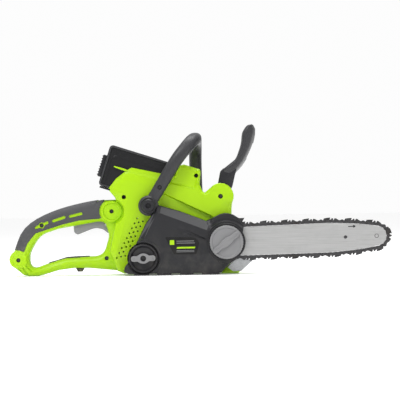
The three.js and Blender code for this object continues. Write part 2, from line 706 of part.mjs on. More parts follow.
// ---------------------------------------------------------------- oil tank, pump and cap
const tankOutline = points([-144, 10], [-62, 8], [-62, 50], [-153, 50]);
const neck = disc(CAP.x, CAP.z, CAP.neckR, CAP.y[1], -20);
const neckBore = disc(CAP.x, CAP.z, CAP.neckR - 2, -70, -20);
piece(
  "oil_tank",
  cut(join(prism(tankOutline, -38, 16), neck), prism(inset(tankOutline, 2), -36, 14), neckBore),
  DARK,
);
const capProfile = [
  [0, -50], [16.4, -50], [16.4, CAP.y[1] - RUN], [CAP.r, CAP.y[1] - RUN], [CAP.r, -74.5],
  [CAP.r - 1.5, -75.8], [0, -75.8],
];
piece("oil_cap", turned(CAP.x, CAP.z, capProfile, 32), BLACK);
const wingBar = capsule(at(CAP.x - 21, CAP.z + 0.8), at(CAP.x + 21, CAP.z - 0.8), 10.5);
piece(
  "oil_cap_wing",
  cut(
    join(prism(wingBar, CAP.y[0], -76.1), disc(CAP.x, CAP.z, 9, CAP.y[0], -76.1)),
    disc(CAP.x, CAP.z, 5.3, -90, -60, 16),
  ),
  PALE,
);
piece("oil_pump", block(26, 46, -36, -20, 7, 22), BLACK);
piece(
  "oil_hose", rod([[-61.4, -10, 16], [-30, -12, 13], [0, -20, 11], [25, -28, 13]], 2.2, 16, 8), RUBBER,
);

export default saw;
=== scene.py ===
import json
import math

import bmesh
import bpy
import numpy as np
from mathutils import Matrix, Vector
from mathutils.geometry import delaunay_2d_cdt


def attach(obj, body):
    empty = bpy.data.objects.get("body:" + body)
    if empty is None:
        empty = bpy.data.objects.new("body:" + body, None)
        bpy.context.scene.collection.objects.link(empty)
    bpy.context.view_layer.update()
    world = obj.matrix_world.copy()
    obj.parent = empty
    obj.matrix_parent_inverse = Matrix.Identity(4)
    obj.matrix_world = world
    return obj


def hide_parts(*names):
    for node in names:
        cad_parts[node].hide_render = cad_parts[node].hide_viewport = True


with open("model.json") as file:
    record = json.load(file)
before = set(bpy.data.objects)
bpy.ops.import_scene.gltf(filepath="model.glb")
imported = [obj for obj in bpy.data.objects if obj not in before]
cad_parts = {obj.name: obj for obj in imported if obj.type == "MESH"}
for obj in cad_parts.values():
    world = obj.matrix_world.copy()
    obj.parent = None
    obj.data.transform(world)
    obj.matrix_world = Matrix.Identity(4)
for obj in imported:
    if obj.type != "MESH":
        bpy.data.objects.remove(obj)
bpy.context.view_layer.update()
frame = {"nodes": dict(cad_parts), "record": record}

MM = 0.001  # shapes are worked out in millimetres and written to meshes in metres

# ------------------------------------------------------------------ camera and floor
LENS = 196.7
CAMERA_PLACE = (0.0021, -4.052, 0.1358)
CAMERA_ROLL = math.radians(-0.9)
FLOOR_SIZE, FLOOR_DROP = 30, 0.0006

camera = bpy.data.objects.new("camera", bpy.data.cameras.new("camera"))
bpy.context.scene.collection.objects.link(camera)
camera.data.lens = LENS
camera.data.clip_end = 50
camera.location = CAMERA_PLACE
camera.rotation_euler = Matrix.Rotation(math.radians(90), 4, "X").to_euler()
camera.rotation_euler.rotate_axis("Z", CAMERA_ROLL)
bpy.context.scene.camera = camera
bpy.context.scene.view_settings.view_transform = "Standard"

bpy.ops.mesh.primitive_plane_add(size=FLOOR_SIZE, location=(0, 0, -FLOOR_DROP))
floor = bpy.context.object
floor.name = "floor"


# ------------------------------------------------------------------ outlines in the X-Z plane
def points(*pairs):
    """Places (x, z) in the plane, one row each."""
    return np.array(pairs, float)


def arc(centre, r, start, end, count):
    """Points at even angles on a circle: centre + r (cos a, sin a), a from start to end in degrees."""
    a = np.radians(np.linspace(start, end, count))
    return np.column_stack([centre[0] + r * np.cos(a), centre[1] + r * np.sin(a)])


def circle(centre, r, count=32):
    """A closed circle of count points."""
    return arc(centre, r, 0, 360 - 360 / count, count)


def area(loop):
    """The area that an outline holds, positive where it runs counterclockwise: half the sum of
    x z' - x' z."""
    x, z = loop.T
    return 0.5 * np.sum(x * np.roll(z, -1) - np.roll(x, -1) * z)


def counterclockwise(loop):
    return loop if area(loop) > 0 else loop[::-1]


def along(line, step):
    """A polyline with each stretch from a to b cut into equal lengths of at most step: a + (b - a) k / n."""
    a, b = line[:-1], line[1:]
    cuts = np.maximum(1, np.ceil(np.hypot(*(b - a).T) / step)).astype(int)
    part = np.repeat(np.arange(len(a)), cuts)
    share = (np.arange(len(part)) - np.repeat(np.cumsum(cuts) - cuts, cuts)) / cuts[part]
    return np.vstack([a[part] + (b - a)[part] * share[:, None], line[-1:]])


def ring_of(loop):
    """A closed outline as a polyline that ends where it begins."""
    return np.vstack([loop, loop[:1]])


def resample(loop, step):
    """A closed outline with every side cut into equal lengths of at most step, corners kept."""
    return along(ring_of(loop), step)[:-1]


def inward(loop):
    """Unit normals into a counterclockwise outline, each the mean of its two sides' normals, stretched
    so that a move along it shifts both sides by the same distance."""
    edge = np.roll(loop, -1, axis=0) - loop
    edge /= np.maximum(np.hypot(*edge.T), 1e-9)[:, None]
    normal = np.column_stack([-edge[:, 1], edge[:, 0]])
    before = np.roll(normal, 1, axis=0)
    mean = normal + before
    mean /= np.maximum(np.hypot(*mean.T), 1e-9)[:, None]
    return mean / np.maximum(np.sum(mean * normal, axis=1), 0.5)[:, None]


def distance(where, loop, closed=True):
    """Distance of each point from a polyline: the least over its sides of |p - a - t (b - a)|, t in 0..1."""
    a = loop if closed else loop[:-1]
    b = np.roll(loop, -1, axis=0) if closed else loop[1:]
    best = np.full(len(where), np.inf)
    for begin in range(0, len(where), 4000):
        p = where[begin : begin + 4000, None]
        t = np.sum((p - a) * (b - a), axis=2) / np.maximum(np.sum((b - a) ** 2, axis=1), 1e-12)
        foot = a + np.clip(t, 0, 1)[..., None] * (b - a)
        best[begin : begin + 4000] = np.sqrt(np.sum((p - foot) ** 2, axis=2)).min(axis=1)
    return best


def inside(where, loop):
    """True where a ray along +X crosses the outline an odd number of times."""
    a, b = loop, np.roll(loop, -1, axis=0)
    x, z = where[:, :1], where[:, 1:]
    spans = (a[:, 1] > z) != (b[:, 1] > z)
    rise = np.where(np.abs(b[:, 1] - a[:, 1]) < 1e-12, 1e-12, b[:, 1] - a[:, 1])
    cross = a[:, 0] + (z - a[:, 1]) * (b[:, 0] - a[:, 0]) / rise
    return (np.sum(spans & (x < cross), axis=1) % 2) == 1


def depth_in(where, loop):
    """Signed distance from a closed outline, positive inside it."""
    return np.where(inside(where, loop), 1, -1) * distance(where, loop)


def ramp(value, width):
    """0 to 1 in a straight line as value goes from 0 to width."""
    return np.clip(value / width, 0, 1)


def ease(value, width):
    """0 to 1 along t t (3 - 2 t), t = value / width held to 0..1."""
    t = ramp(value, width)
    return t * t * (3 - 2 * t)


def roll_over(d, r):
    """How far a surface drops d away from an edge rounded by a quarter circle: r - sqrt(r r - (r - d)^2)."""
    inner = np.clip(r - d, 0, r)
    return r - np.sqrt(np.maximum(r * r - inner * inner, 0))


def spline(knots, count):
    """A Catmull-Rom curve through the knots at even steps of its parameter."""
    knots = np.vstack([2 * knots[0] - knots[1], knots, 2 * knots[-1] - knots[-2]])
    t = np.linspace(0, len(knots) - 3 - 1e-6, count)
    k, f = t.astype(int), (t % 1)[:, None]
    a, b, c, d = (knots[k + n] for n in range(4))
    return 0.5 * (2 * b + (c - a) * f + (2 * a - 5 * b + 4 * c - d) * f**2 + (3 * b - a - 3 * c + d) * f**3)


def rounded(corners, r, count=5):
    """An outline with each corner turned into an arc: the points (1-t)^2 a + 2 t (1-t) corner + t^2 b."""
    before, after = np.roll(corners, 1, axis=0) - corners, np.roll(corners, -1, axis=0) - corners
    lb, la = np.hypot(*before.T), np.hypot(*after.T)
    reach = np.minimum(r, 0.49 * np.minimum(la, lb))
    a = corners + before / lb[:, None] * reach[:, None]
    b = corners + after / la[:, None] * reach[:, None]
    t = np.linspace(0, 1, count)[None, :, None]
    return ((1 - t) ** 2 * a[:, None] + 2 * t * (1 - t) * corners[:, None] + t**2 * b[:, None]).reshape(-1, 2)


def section(node, y):
    """The closed outlines where a CAD node meets the plane at y, in mm, largest first."""
    mesh = frame["nodes"][node].data
    co = np.array([v.co for v in mesh.vertices]) / MM
    mesh.calc_loop_triangles()
    tris = np.array([t.vertices for t in mesh.loop_triangles])
    y = y + 1e-4
    above = co[tris][:, :, 1] > y
    ends = {}
    for tri, up in zip(co[tris][above.any(1) & ~above.all(1)], above[above.any(1) & ~above.all(1)]):
        hit = []
        for i, j in ((0, 1), (1, 2), (2, 0)):
            if up[i] != up[j]:
                p, q = tri[i], tri[j]
                hit.append(tuple(np.round((p + (q - p) * (y - p[1]) / (q[1] - p[1]))[[0, 2]], 2)))
        if hit[0] != hit[1]:
            ends.setdefault(hit[0], []).append(hit[1])
            ends.setdefault(hit[1], []).append(hit[0])
    loops = []
    while ends:
        start = next(iter(ends))
        loop, here = [start], start
        while ends.get(here):
            there = ends[here].pop()
            ends[there].remove(here)
            if not ends[here]:
                del ends[here]
            here = there
            if here == start:
                break
            loop.append(here)
        if here in ends and not ends[here]:
            del ends[here]
        ends = {k: v for k, v in ends.items() if v}
        if len(loop) > 2:
            loops.append(plain(counterclockwise(np.array(loop))))
    return sorted((loop for loop in loops if len(loop) > 2), key=area, reverse=True)


def plain(loop):
    """An outline without the points that lie on the straight line between their neighbours."""
    before, after = np.roll(loop, 1, axis=0) - loop, np.roll(loop, -1, axis=0) - loop
    bend = np.abs(before[:, 0] * after[:, 1] - before[:, 1] * after[:, 0])
    return loop[bend > 0.02 * np.maximum(np.hypot(*before.T) * np.hypot(*after.T), 1e-9)]


# ------------------------------------------------------------------ writing pieces
def quads(rows, columns, wrap_rows=False, wrap_columns=False):
    """Four-sided faces of a grid of rows x columns points, optionally closed round either way."""
    i = np.arange(rows if wrap_rows else rows - 1)[:, None]
    j = np.arange(columns if wrap_columns else columns - 1)[None]
    i2, j2 = (i + 1) % rows, (j + 1) % columns
    return np.stack(
        [i * columns + j, i * columns + j2, i2 * columns + j2, i2 * columns + j], -1
    ).reshape(-1, 4)


def piece(name, body, slot, verts, faces, nodes=(), bevel=0.0, solid=0.0, sharp=32, look=None):
    """Writes a mesh in millimetres as a finished piece: faces outward, edges softened, riding on its body."""
    mesh = bpy.data.meshes.new(name)
    mesh.from_pydata((np.asarray(verts, float) * MM).tolist(), [], [list(map(int, f)) for f in faces])
    mesh.validate()
    obj = bpy.data.objects.new(name, mesh)
    bpy.context.scene.collection.objects.link(obj)
    if solid:
        shell = obj.modifiers.new("wall", "SOLIDIFY")
        shell.thickness, shell.offset = solid * MM, -1
    else:
        net = bmesh.new()
        net.from_mesh(mesh)
        bmesh.ops.remove_doubles(net, verts=net.verts, dist=0.002 * MM)
        bmesh.ops.recalc_face_normals(net, faces=net.faces)
        net.to_mesh(mesh)
        net.free()
    if bevel:
        edge = obj.modifiers.new("edge", "BEVEL")
        edge.width, edge.segments, edge.angle_limit = bevel * MM, 2, math.radians(38)
    mesh.shade_smooth()
    mesh.set_sharp_from_angle(angle=math.radians(sharp))
    mesh.materials.append(look or LOOKS[slot])
    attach(obj, body)
    if nodes:
        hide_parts(*nodes)
    return obj


def put_together(*parts):
    """Several (verts, faces) as one, the faces' numbers moved up past the points before them."""
    verts, faces, base = [], [], 0
    for v, f in parts:
        verts.append(np.asarray(v, float))
        faces += [[int(n) + base for n in face] for face in f]
        base += len(v)
    return np.vstack(verts), faces


def loft(rings, caps=True):
    """A skin over closed rings of equal counts, its two ends filled in."""
    rings = np.asarray(rings, float)
    count, around_it = rings.shape[:2]
    faces = quads(count, around_it, wrap_columns=True).tolist()
    if caps:
        faces += [list(range(around_it))[::-1], list(range((count - 1) * around_it, count * around_it))]
    return rings.reshape(-1, 3), faces


def turned(profile, place, sides=64, scallop=None):
    """A profile of (radius, y) turned about the Y axis through a place (x, z); scallop(angle, y)
    scales its radius."""
    profile = np.array(profile, float)
    turn = np.linspace(0, 2 * math.pi, sides, endpoint=False)
    r = np.maximum(profile[:, :1], 1e-3) * (1 if scallop is None else scallop(turn, profile[:, 1:]))
    y = np.broadcast_to(profile[:, 1:], (len(profile), sides))
    rings = np.stack([place[0] + r * np.cos(turn), y, place[1] + r * np.sin(turn)], -1)
    return loft(rings)


def within(where, loops):
    """Signed distance from the outline of several overlapping shapes, positive inside any of them."""
    return np.maximum.reduce([depth_in(where, loop) for loop in loops])


def net(loops, holes=(), lines=(), seeds=()):
    """Constrained Delaunay triangles over one or more outlines less their holes: (places, triangles)."""
    chains = [*loops, *holes]
    where, edges, base = [], [], 0
    for chain in chains:
        n = np.arange(len(chain))
        where.append(chain)
        edges.append(np.column_stack([n, (n + 1) % len(chain)]) + base)
        base += len(chain)
    for line in lines:
        n = np.arange(len(line) - 1)
        where.append(line)
        edges.append(np.column_stack([n, n + 1]) + base)
        base += len(line)
    where.append(np.reshape(seeds, (-1, 2)))
    where, edges = np.vstack(where), np.vstack(edges)
    found = delaunay_2d_cdt([Vector(p) for p in where.tolist()], edges.tolist(), [], 0, 1e-3)
    spots = np.array([v[:] for v in found[0]])
    tris = np.array([t for t in found[2] if len(t) == 3])
    centre = spots[tris].mean(1)
    keep = np.any([inside(centre, loop) for loop in loops], axis=0)
    for hole in holes:
        keep &= ~inside(centre, hole)
    tris = tris[keep]
    a, b, c = (spots[tris[:, k]] for k in range(3))
    wound = (b[:, 0] - a[:, 0]) * (c[:, 1] - a[:, 1]) - (b[:, 1] - a[:, 1]) * (c[:, 0] - a[:, 0])
    tris[wound < 0] = tris[wound < 0][:, ::-1]
    return spots, tris


def open_edges(tris):
    """The edges that only one triangle has, each running the way its triangle does."""
    edge = np.vstack([tris[:, [0, 1]], tris[:, [1, 2]], tris[:, [2, 0]]])
    key = np.sort(edge, axis=1)
    _, first, counts = np.unique(key, axis=0, return_index=True, return_counts=True)
    return edge[first[counts == 1]]


def plate(loop, y0, y1, holes=()):
    """A flat plate between y0 and y1 with the given outline and holes."""
    spots, tris = net([counterclockwise(loop)], [counterclockwise(h) for h in holes])
    rim, n = open_edges(tris), len(spots)
    front = np.column_stack([spots[:, 0], np.full(n, min(y0, y1)), spots[:, 1]])
    back = np.column_stack([spots[:, 0], np.full(n, max(y0, y1)), spots[:, 1]])
    walls = np.column_stack([rim[:, 0], rim[:, 1], rim[:, 1] + n, rim[:, 0] + n])[:, ::-1]
    return np.vstack([front, back]), tris.tolist() + (tris[:, ::-1] + n).tolist() + walls.tolist()


def carve(
    loops, height, floor, side, holes=(), lines=(), pits=None, step=3.6, rim=(0.5, 1.3, 2.6, 4.4, 6.8, 9.6)
):
    """One half of a moulding as an open skin. Every place (x, z) within the outlines stands at
    y = side * height(x, z), and at its rim the skin drops to y = side * floor(x, z). A hole drops to its own
    depth, or is left as a plain opening. Places are the rim's rings, the crease lines and a
    staggered grid."""
    edges = [resample(counterclockwise(loop), step) for loop in loops]
    holes = [counterclockwise(h) for h in holes]
    lines = [run for line in lines for run in clear_runs(along(line, step), edges, holes)]
    seeds = []
    for edge in edges:
        rings = [edge + inward(edge) * d for d in rim]
        seeds += [r[within(r, edges) > 0.9 * d] for r, d in zip(rings, rim)]
    seeds += [h - inward(h) * d for h in holes for d in (0.9, 2.4)]
    low, high = np.vstack(edges).min(0), np.vstack(edges).max(0)
    columns = np.arange(low[0], high[0], step * 1.1)
    rows = np.arange(low[1], high[1], step * 0.95)
    grid = np.stack(np.meshgrid(columns, rows), -1)
    grid[1::2, :, 0] += step * 0.55
    grid = grid.reshape(-1, 2)
    seeds.append(grid[within(grid, edges) > rim[-1] + 1.2])
    seeds = np.vstack(seeds)
    seeds = seeds[within(seeds, edges) > 0.3]
    for hole in holes:
        seeds = seeds[depth_in(seeds, hole) < -0.6]
    for line in lines:
        seeds = seeds[distance(seeds, line, closed=False) > 0.9]
    spots, tris = net(edges, holes, lines, seeds)
    top = height(spots)
    skin = np.column_stack([spots[:, 0], side * top, spots[:, 1]])
    verges = open_edges(tris)
    middle = spots[verges].mean(1)
    drop = floor(spots)
    walled = np.ones(len(verges), bool)
    for hole, pit in zip(holes, pits or [None] * len(holes)):
        at_hole = distance(middle, hole) < 0.05
        if pit is None:
            walled &= ~at_hole
        elif pit != "rim":
            drop[verges[at_hole].ravel()] = pit
    verges = verges[walled]
    drop = np.minimum(drop, top - 0.2)
    foot = np.column_stack([spots[:, 0], side * drop, spots[:, 1]])
    n = len(spots)
    walls = np.column_stack([verges[:, 1], verges[:, 0], verges[:, 0] + n, verges[:, 1] + n])
    if side > 0:
        tris, walls = tris[:, ::-1], walls[:, ::-1]
    verts = np.vstack([skin, foot])
    faces = tris.tolist() + walls.tolist()
    used = np.unique(np.concatenate([tris.ravel(), walls.ravel()]))
    again = np.zeros(len(verts), int)
    again[used] = np.arange(len(used))
    return verts[used], [again[f].tolist() for f in faces]


def clear_runs(line, edges, holes):
    """The stretches of a polyline that keep a little way inside the outlines and outside their holes."""
    clear = within(line, edges) > 0.7
    for hole in holes:
        clear &= depth_in(line, hole) < -0.7
    cuts = np.flatnonzero(np.diff(clear.astype(int))) + 1
    return [run for run, good in zip(np.split(line, cuts), clear[np.r_[0, cuts]]) if good and len(run) > 1]


def beside(line, gap):
    """A polyline moved sideways by gap, to its left as it runs."""
    way = np.gradient(line, axis=0)
    way /= np.hypot(*way.T)[:, None]
    return line + gap * np.column_stack([-way[:, 1], way[:, 0]])


def left_of(where, line):
    """Signed distance from an open polyline's nearest stretch, positive on its left."""
    a, b = line[:-1], line[1:]
    best, sign = np.full(len(where), np.inf), np.ones(len(where))
    for p, q in zip(a, b):
        run = q - p
        t = np.clip(((where - p) @ run) / (run @ run), 0, 1)
        gap = where - p - t[:, None] * run
        d = np.hypot(*gap.T)
        turn = run[0] * (where - p)[:, 1] - run[1] * (where - p)[:, 0]
        nearer = d < best
        best, sign = np.where(nearer, d, best), np.where(nearer, np.sign(turn), sign)
    return best * np.where(sign == 0, 1, sign)


# ------------------------------------------------------------------ materials
class Wire:
    """The output of a shader node, joined to others by Python's arithmetic through Math nodes."""

    def __init__(self, shader, socket):
        self.shader, self.socket = shader, socket

    def _math(self, operation, *values):
        return self.shader.node("ShaderNodeMath", {"operation": operation}, *values)

    def __add__(self, other):
        return self._math("ADD", self, other)

    def __sub__(self, other):
        return self._math("SUBTRACT", self, other)

    def __rsub__(self, other):
        return self._math("SUBTRACT", other, self)

    def __mul__(self, other):
        return self._math("MULTIPLY", self, other)

    def __truediv__(self, other):
        return self._math("DIVIDE", self, other)

    def __pow__(self, other):
        return self._math("POWER", self, other)

    def held(self):
        """Held between 0 and 1."""
        return self.shader.node("ShaderNodeClamp", {}, self, 0.0, 1.0)

    def above(self, low, high):
        """0 below low, 1 above high, and straight between them."""
        return self.shader.node("ShaderNodeMapRange", {"clamp": True}, self, low, high, 0.0, 1.0)

    __radd__, __rmul__ = __add__, __mul__


class Shader:
    """A material in the making, with the object's own coordinates and one method that adds any node."""

    def __init__(self, name):
        self.material = bpy.data.materials.new(name)
        self.material.use_nodes = True
        self.tree = self.material.node_tree
        self.surface = self.tree.nodes["Principled BSDF"]
        self.place = self.node("ShaderNodeTexCoord", {}, output="Object")

    def join(self, value, socket):
        """Links a wire to a socket, or sets a plain value on it."""
        if isinstance(value, Wire):
            self.tree.links.new(value.socket, socket)
        elif value is not None:
            socket.default_value = value

    def node(self, kind, settings, *values, output=0, **named):
        """Adds a node: its settings first, then its sockets, by order or by name."""
        made = self.tree.nodes.new(kind)
        for key, value in settings.items():
            setattr(made, key, value)
        for value, socket in zip(values, made.inputs):
            self.join(value, socket)
        for key, value in named.items():
            self.join(value, made.inputs[key.replace("_", " ")])
        return Wire(self, made.outputs[output])

    def stretched(self, scale, turn=(0, 0, 0)):
        """The object's coordinates, stretched and turned."""
        return self.node("ShaderNodeMapping", {}, Vector=self.place, Scale=scale, Rotation=turn)

    def noise(self, scale, detail=3.0, rough=0.55, at=None):
        return self.node(
            "ShaderNodeTexNoise", {}, Vector=at or self.place, Scale=scale, Detail=detail, Roughness=rough
        )

    def cells(self, scale, at=None):
        return self.node("ShaderNodeTexVoronoi", {}, Vector=at or self.place, Scale=scale)

    def height(self):
        """Height over the floor."""
        return self.node("ShaderNodeSeparateXYZ", {}, self.place, output=2)

    def mix(self, share, one, two):
        """The first colour where share is 0, the second where it is 1."""
        made = self.tree.nodes.new("ShaderNodeMix")
        made.data_type = "RGBA"
        self.join(share, made.inputs[0])
        self.join(one, made.inputs[6])
        self.join(two, made.inputs[7])
        return Wire(self, made.outputs[2])

    def bump(self, height, depth, strength=1.0, after=None):
        """A bump of that depth in metres; after is a bump beneath it."""
        made = self.tree.nodes.new("ShaderNodeBump")
        made.inputs["Strength"].default_value = strength
        made.inputs["Distance"].default_value = depth
        self.join(height, made.inputs["Height"])
        self.join(after, made.inputs["Normal"])
        return Wire(self, made.outputs[0])

    def finish(self, **inputs):
        """Joins values to the surface's sockets and gives back the material."""
        for key, value in inputs.items():
            self.join(value, self.surface.inputs[key.replace("_", " ")])
        return self.material


def tone(rgb, factor=1.0):
    """A colour made darker or lighter by a factor, with its alpha."""
    return (rgb[0] * factor, rgb[1] * factor, rgb[2] * factor, 1.0)


def moulded(name, rgb, rough, grain=0.00006, size=2600, dust=0.1, coat=0.0, drift=0.12):
    """Moulded plastic: a fine spark-eroded grain, slow drifts of tone, rubbed glossier patches, thin
    straight scuffs, and dust that gathers low down and in the grain."""
    s = Shader(name)
    drifts = s.noise(14, 4.0)
    specks = s.noise(size, 2.0, 0.6)
    pores = s.cells(size * 0.55)
    scuffs = s.noise(60, 6.0, 0.7, s.stretched((1.0, 1.0, 14.0), (0.3, 0.5, 0.8))).above(0.66, 0.74)
    low = (1.0 - s.height().above(0.0, 0.09)) * s.noise(55, 5.0).above(0.42, 0.7)
    base = s.mix(drifts.above(0.3, 0.7) * drift * 4, tone(rgb, 1 - drift), tone(rgb, 1 + drift))
    worn = s.mix(scuffs * 0.22, base, tone([0.6 * v + 0.13 for v in rgb]))
    dusty = s.mix(low * dust, worn, (0.42, 0.38, 0.32, 1.0))
    wear = (drifts.above(0.5, 0.8) * 0.06 - scuffs * 0.05)
    return s.finish(
        Base_Color=s.mix(specks.above(0.35, 0.75) * 0.16, dusty, tone(rgb, 0.8)),
        Roughness=(rough - wear + specks * 0.05 + low * 0.12).held(),
        Coat_Weight=coat,
        Coat_Roughness=0.25,
        Specular_IOR_Level=0.3,
        Normal=s.bump(specks * 0.6 + pores * 0.4, grain, 0.55, s.bump(scuffs, -0.00005, 0.4)),
    )


def worked(
    name, rgb, rough, grain=(900, 900, 30), depth=0.00003, stain=(0.1, 0.09, 0.08), stained=0.25, metal=1.0
):
    """Machined or brushed metal: fine lines one way, wider rubbed bands, oil stains and a few pits."""
    s = Shader(name)
    lines = s.noise(1.0, 4.0, 0.7, s.stretched(grain))
    bands = s.noise(1.0, 3.0, 0.5, s.stretched(tuple(v * 0.12 for v in grain)))
    blots = s.noise(38, 6.0, 0.6).above(0.52, 0.72)
    pits = 1.0 - s.cells(700).above(0.05, 0.16)
    base = s.mix(lines.above(0.3, 0.7), tone(rgb, 0.82), tone(rgb, 1.14))
    oiled = s.mix(blots * stained, base, tone(stain))
    return s.finish(
        Base_Color=s.mix(pits * 0.35, oiled, tone(rgb, 0.45)),
        Metallic=metal,
        Roughness=(rough + lines * 0.16 - 0.08 + bands * 0.12 - blots * 0.07).held(),
        Normal=s.bump(lines, depth, 0.5, s.bump(pits, -0.00006, 0.5)),
    )


def lacquered_windings():
    """Enamelled copper wire: fine turns side by side, burnt darker in patches, under a clear varnish."""
    s = Shader("enamelled copper windings")
    turns = s.node(
        "ShaderNodeTexWave", {"wave_type": "BANDS", "bands_direction": "DIAGONAL"}, Vector=s.place,
        Scale=420.0, Distortion=1.4, Detail=2.0, Detail_Scale=3.0
    )
    burnt = s.noise(60, 4.0).above(0.5, 0.75)
    return s.finish(
        Base_Color=s.mix(
            burnt * 0.5, s.mix(turns, (0.25, 0.08, 0.025, 1), (0.55, 0.24, 0.09, 1)), (0.12, 0.05, 0.03, 1)
        ),
        Metallic=0.7, Roughness=(0.32 + turns * 0.15 + burnt * 0.2).held(), Coat_Weight=0.6,
        Normal=s.bump(turns, 0.0003, 0.7)
    )


def lacquered_board():
    """Green lacquered board: straight tracks, round bare pads and a faint glass weave."""
    s = Shader("green lacquered circuit board")
    tracks = s.node(
        "ShaderNodeTexBrick", {}, Vector=s.stretched((1, 1, 1), (1.5708, 0, 0)), Scale=160.0,
        Mortar_Size=0.03
    )
    pads = 1.0 - s.cells(330).above(0.12, 0.16)
    weave = s.noise(1500, 2.0)
    return s.finish(
        Base_Color=s.mix(
            pads, s.mix(tracks * 0.4, (0.015, 0.1, 0.035, 1), (0.03, 0.2, 0.07, 1)), (0.6, 0.55, 0.4, 1)
        ),
        Metallic=pads * 0.8, Roughness=(0.3 + weave * 0.12).held(), Coat_Weight=0.5,
        Normal=s.bump(pads + weave * 0.2, 0.0002, 0.5)
    )


LOOKS = {
    "lime_plastic": moulded("lime moulded plastic", (0.365, 0.63, 0.0), 0.38, dust=0.08, drift=0.04),
    "grey_plastic": moulded(
        "graphite grey moulded plastic", (0.037, 0.037, 0.04), 0.38, dust=0.1, drift=0.05
    ),
    "dark_plastic": moulded(
        "charcoal moulded plastic", (0.0165, 0.0165, 0.019), 0.34, dust=0.08, drift=0.05
    ),
    "black_plastic": moulded("black moulded plastic", (0.008, 0.008, 0.009), 0.34, dust=0.1, drift=0.1),
    "soft_grip": moulded(
        "soft grey overmoulded grip", (0.07, 0.07, 0.074), 0.62, grain=0.00012, size=1500, dust=0.3
    ),
    "pale_plastic": moulded(
        "silver grey moulded plastic", (0.205, 0.205, 0.21), 0.34, dust=0.08, coat=0.15, drift=0.03
    ),
    "label": moulded("black printed film", (0.003, 0.003, 0.0035), 0.42, grain=0.00001, dust=0.04),
    "rubber": moulded("black rubber", (0.02, 0.02, 0.021), 0.72, grain=0.00014, size=1200, dust=0.5),
    "bar_steel": worked(
        "brushed bar steel", (0.45, 0.45, 0.447), 0.38, grain=(14, 700, 1300), depth=0.000008, stained=0.1
    ),
    "steel": worked("machined steel", (0.42, 0.42, 0.41), 0.32, grain=(500, 60, 500)),
    "chain_steel": worked(
        "oiled dark chain steel", (0.075, 0.074, 0.076), 0.34, grain=(300, 300, 60),
        stain=(0.03, 0.02, 0.012), stained=0.6
    ),
    "aluminium": worked(
        "cast aluminium", (0.5, 0.51, 0.52), 0.48, grain=(420, 420, 420), depth=0.00004, stained=0.12
    ),
    "windings": lacquered_windings(), "circuit_board": lacquered_board()
}
# ------------------------------------------------------------------ shared places, in millimetres
SEAM = 0.15
BODY_HALF, BAY_HALF, BAY_LIP, HANDLE_HALF, PAD_HALF = 43.4, 40.4, 37.7, 19.0, 24.0
STUD = np.array([49.18, 58.49])
CAP = np.array([-102.8, 30.9])
RING, RING_R = np.array([-161.4, 117.4]), 20.3
END_PAD, END_R = np.array([-334.8, 30.6]), 16.6
FOOT = np.array([-92.2, 126.8])
LEFT_FOOT = np.array([-4.0, 104.0])
GUARD_PIN = np.array([39.8, 142.0])
LOCK_BUTTON = np.array([-196.0, 117.0])
HANDLE_SCREW = np.array([-71.1, 159.9])
BATTERY = np.array([-160.7, 240.7])
TILT = math.radians(18)
ALONG = np.array([math.cos(TILT), -math.sin(TILT)])
UP = np.array([math.sin(TILT), math.cos(TILT)])

GRIP_TOP = spline(
    points((-172, 140.6), (-210.4, 135.2), (-260, 122.8), (-301.8, 104.7), (-327.6, 82.6), (-342, 49)), 15
)
GRIP_SKIN = 1.8
top_loop = np.vstack([GRIP_TOP, [(-330, 44), (-170, 90)]])
core = (counterclockwise(top_loop) + inward(counterclockwise(top_loop)) * GRIP_SKIN)
core = (core if area(top_loop) > 0 else core[::-1])[: len(GRIP_TOP)]
handle_edge = counterclockwise(
    np.vstack(
        [
            [(-146, 139)], core, arc(END_PAD, END_R, 125, 225, 9),
            points(
                (-326, 2), (-317, 0), (-299, 0), (-289, 2), (-261, 10), (-232.8, 13.6), (-204.6, 13.3),
                (-150, 7.7), (-142, 10)
            )
        ]
    )
)
finger = counterclockwise(
    rounded(
        np.vstack(
            [
                points(
                    (-166, 74), (-174.7, 46), (-180.3, 39.1), (-190.3, 35), (-211.5, 34.6), (-246.6, 33.1),
                    (-274.9, 25.1)
                ),
                arc((-303, 26.5), 11, -72, -180, 5),
                points(
                    (-314, 41.2), (-305.3, 58), (-298.1, 69.1), (-288.1, 77.4), (-259.8, 86.7),
                    (-184.7, 98.8), (-176.7, 97.7)
                )
            ]
        ),
        9, 4
    )
)
body_edge = section("right_shell", -42.0)[0]
ring_edge = circle(RING, RING_R, 48)
grip_end = np.vstack(
    [points((-190, 137.4), (-175.6, 139.2)), arc(RING, 22.6, 124, 213, 14), points((-190, 104.8))]
)
grip_area = [section("grip_right", -20.0)[0], counterclockwise(grip_end)]


def slot_outline(a, b, r, count=9):
    """A long hole with round ends: half a circle about each end of its middle line."""
    turn = math.degrees(math.atan2(b[1] - a[1], b[0] - a[0]))
    return np.vstack([arc(b, r, turn - 90, turn + 90, count), arc(a, r, turn + 90, turn + 270, count)])


GRIP_SLOTS = (
    ((-301, 89.5), (-280.5, 98.2)),
    ((-269, 101.0), (-249, 107.7)),
    ((-237.6, 109.2), (-217.5, 113.9)),
)
slots = [slot_outline(*ends, 2.6) for ends in GRIP_SLOTS]
cover_edge = section("chain_cover", -72.5)[0]


def battery_uv(p):
    """Distances along the battery and up from its top edge."""
    return (p - BATTERY) @ ALONG, (p - BATTERY) @ UP


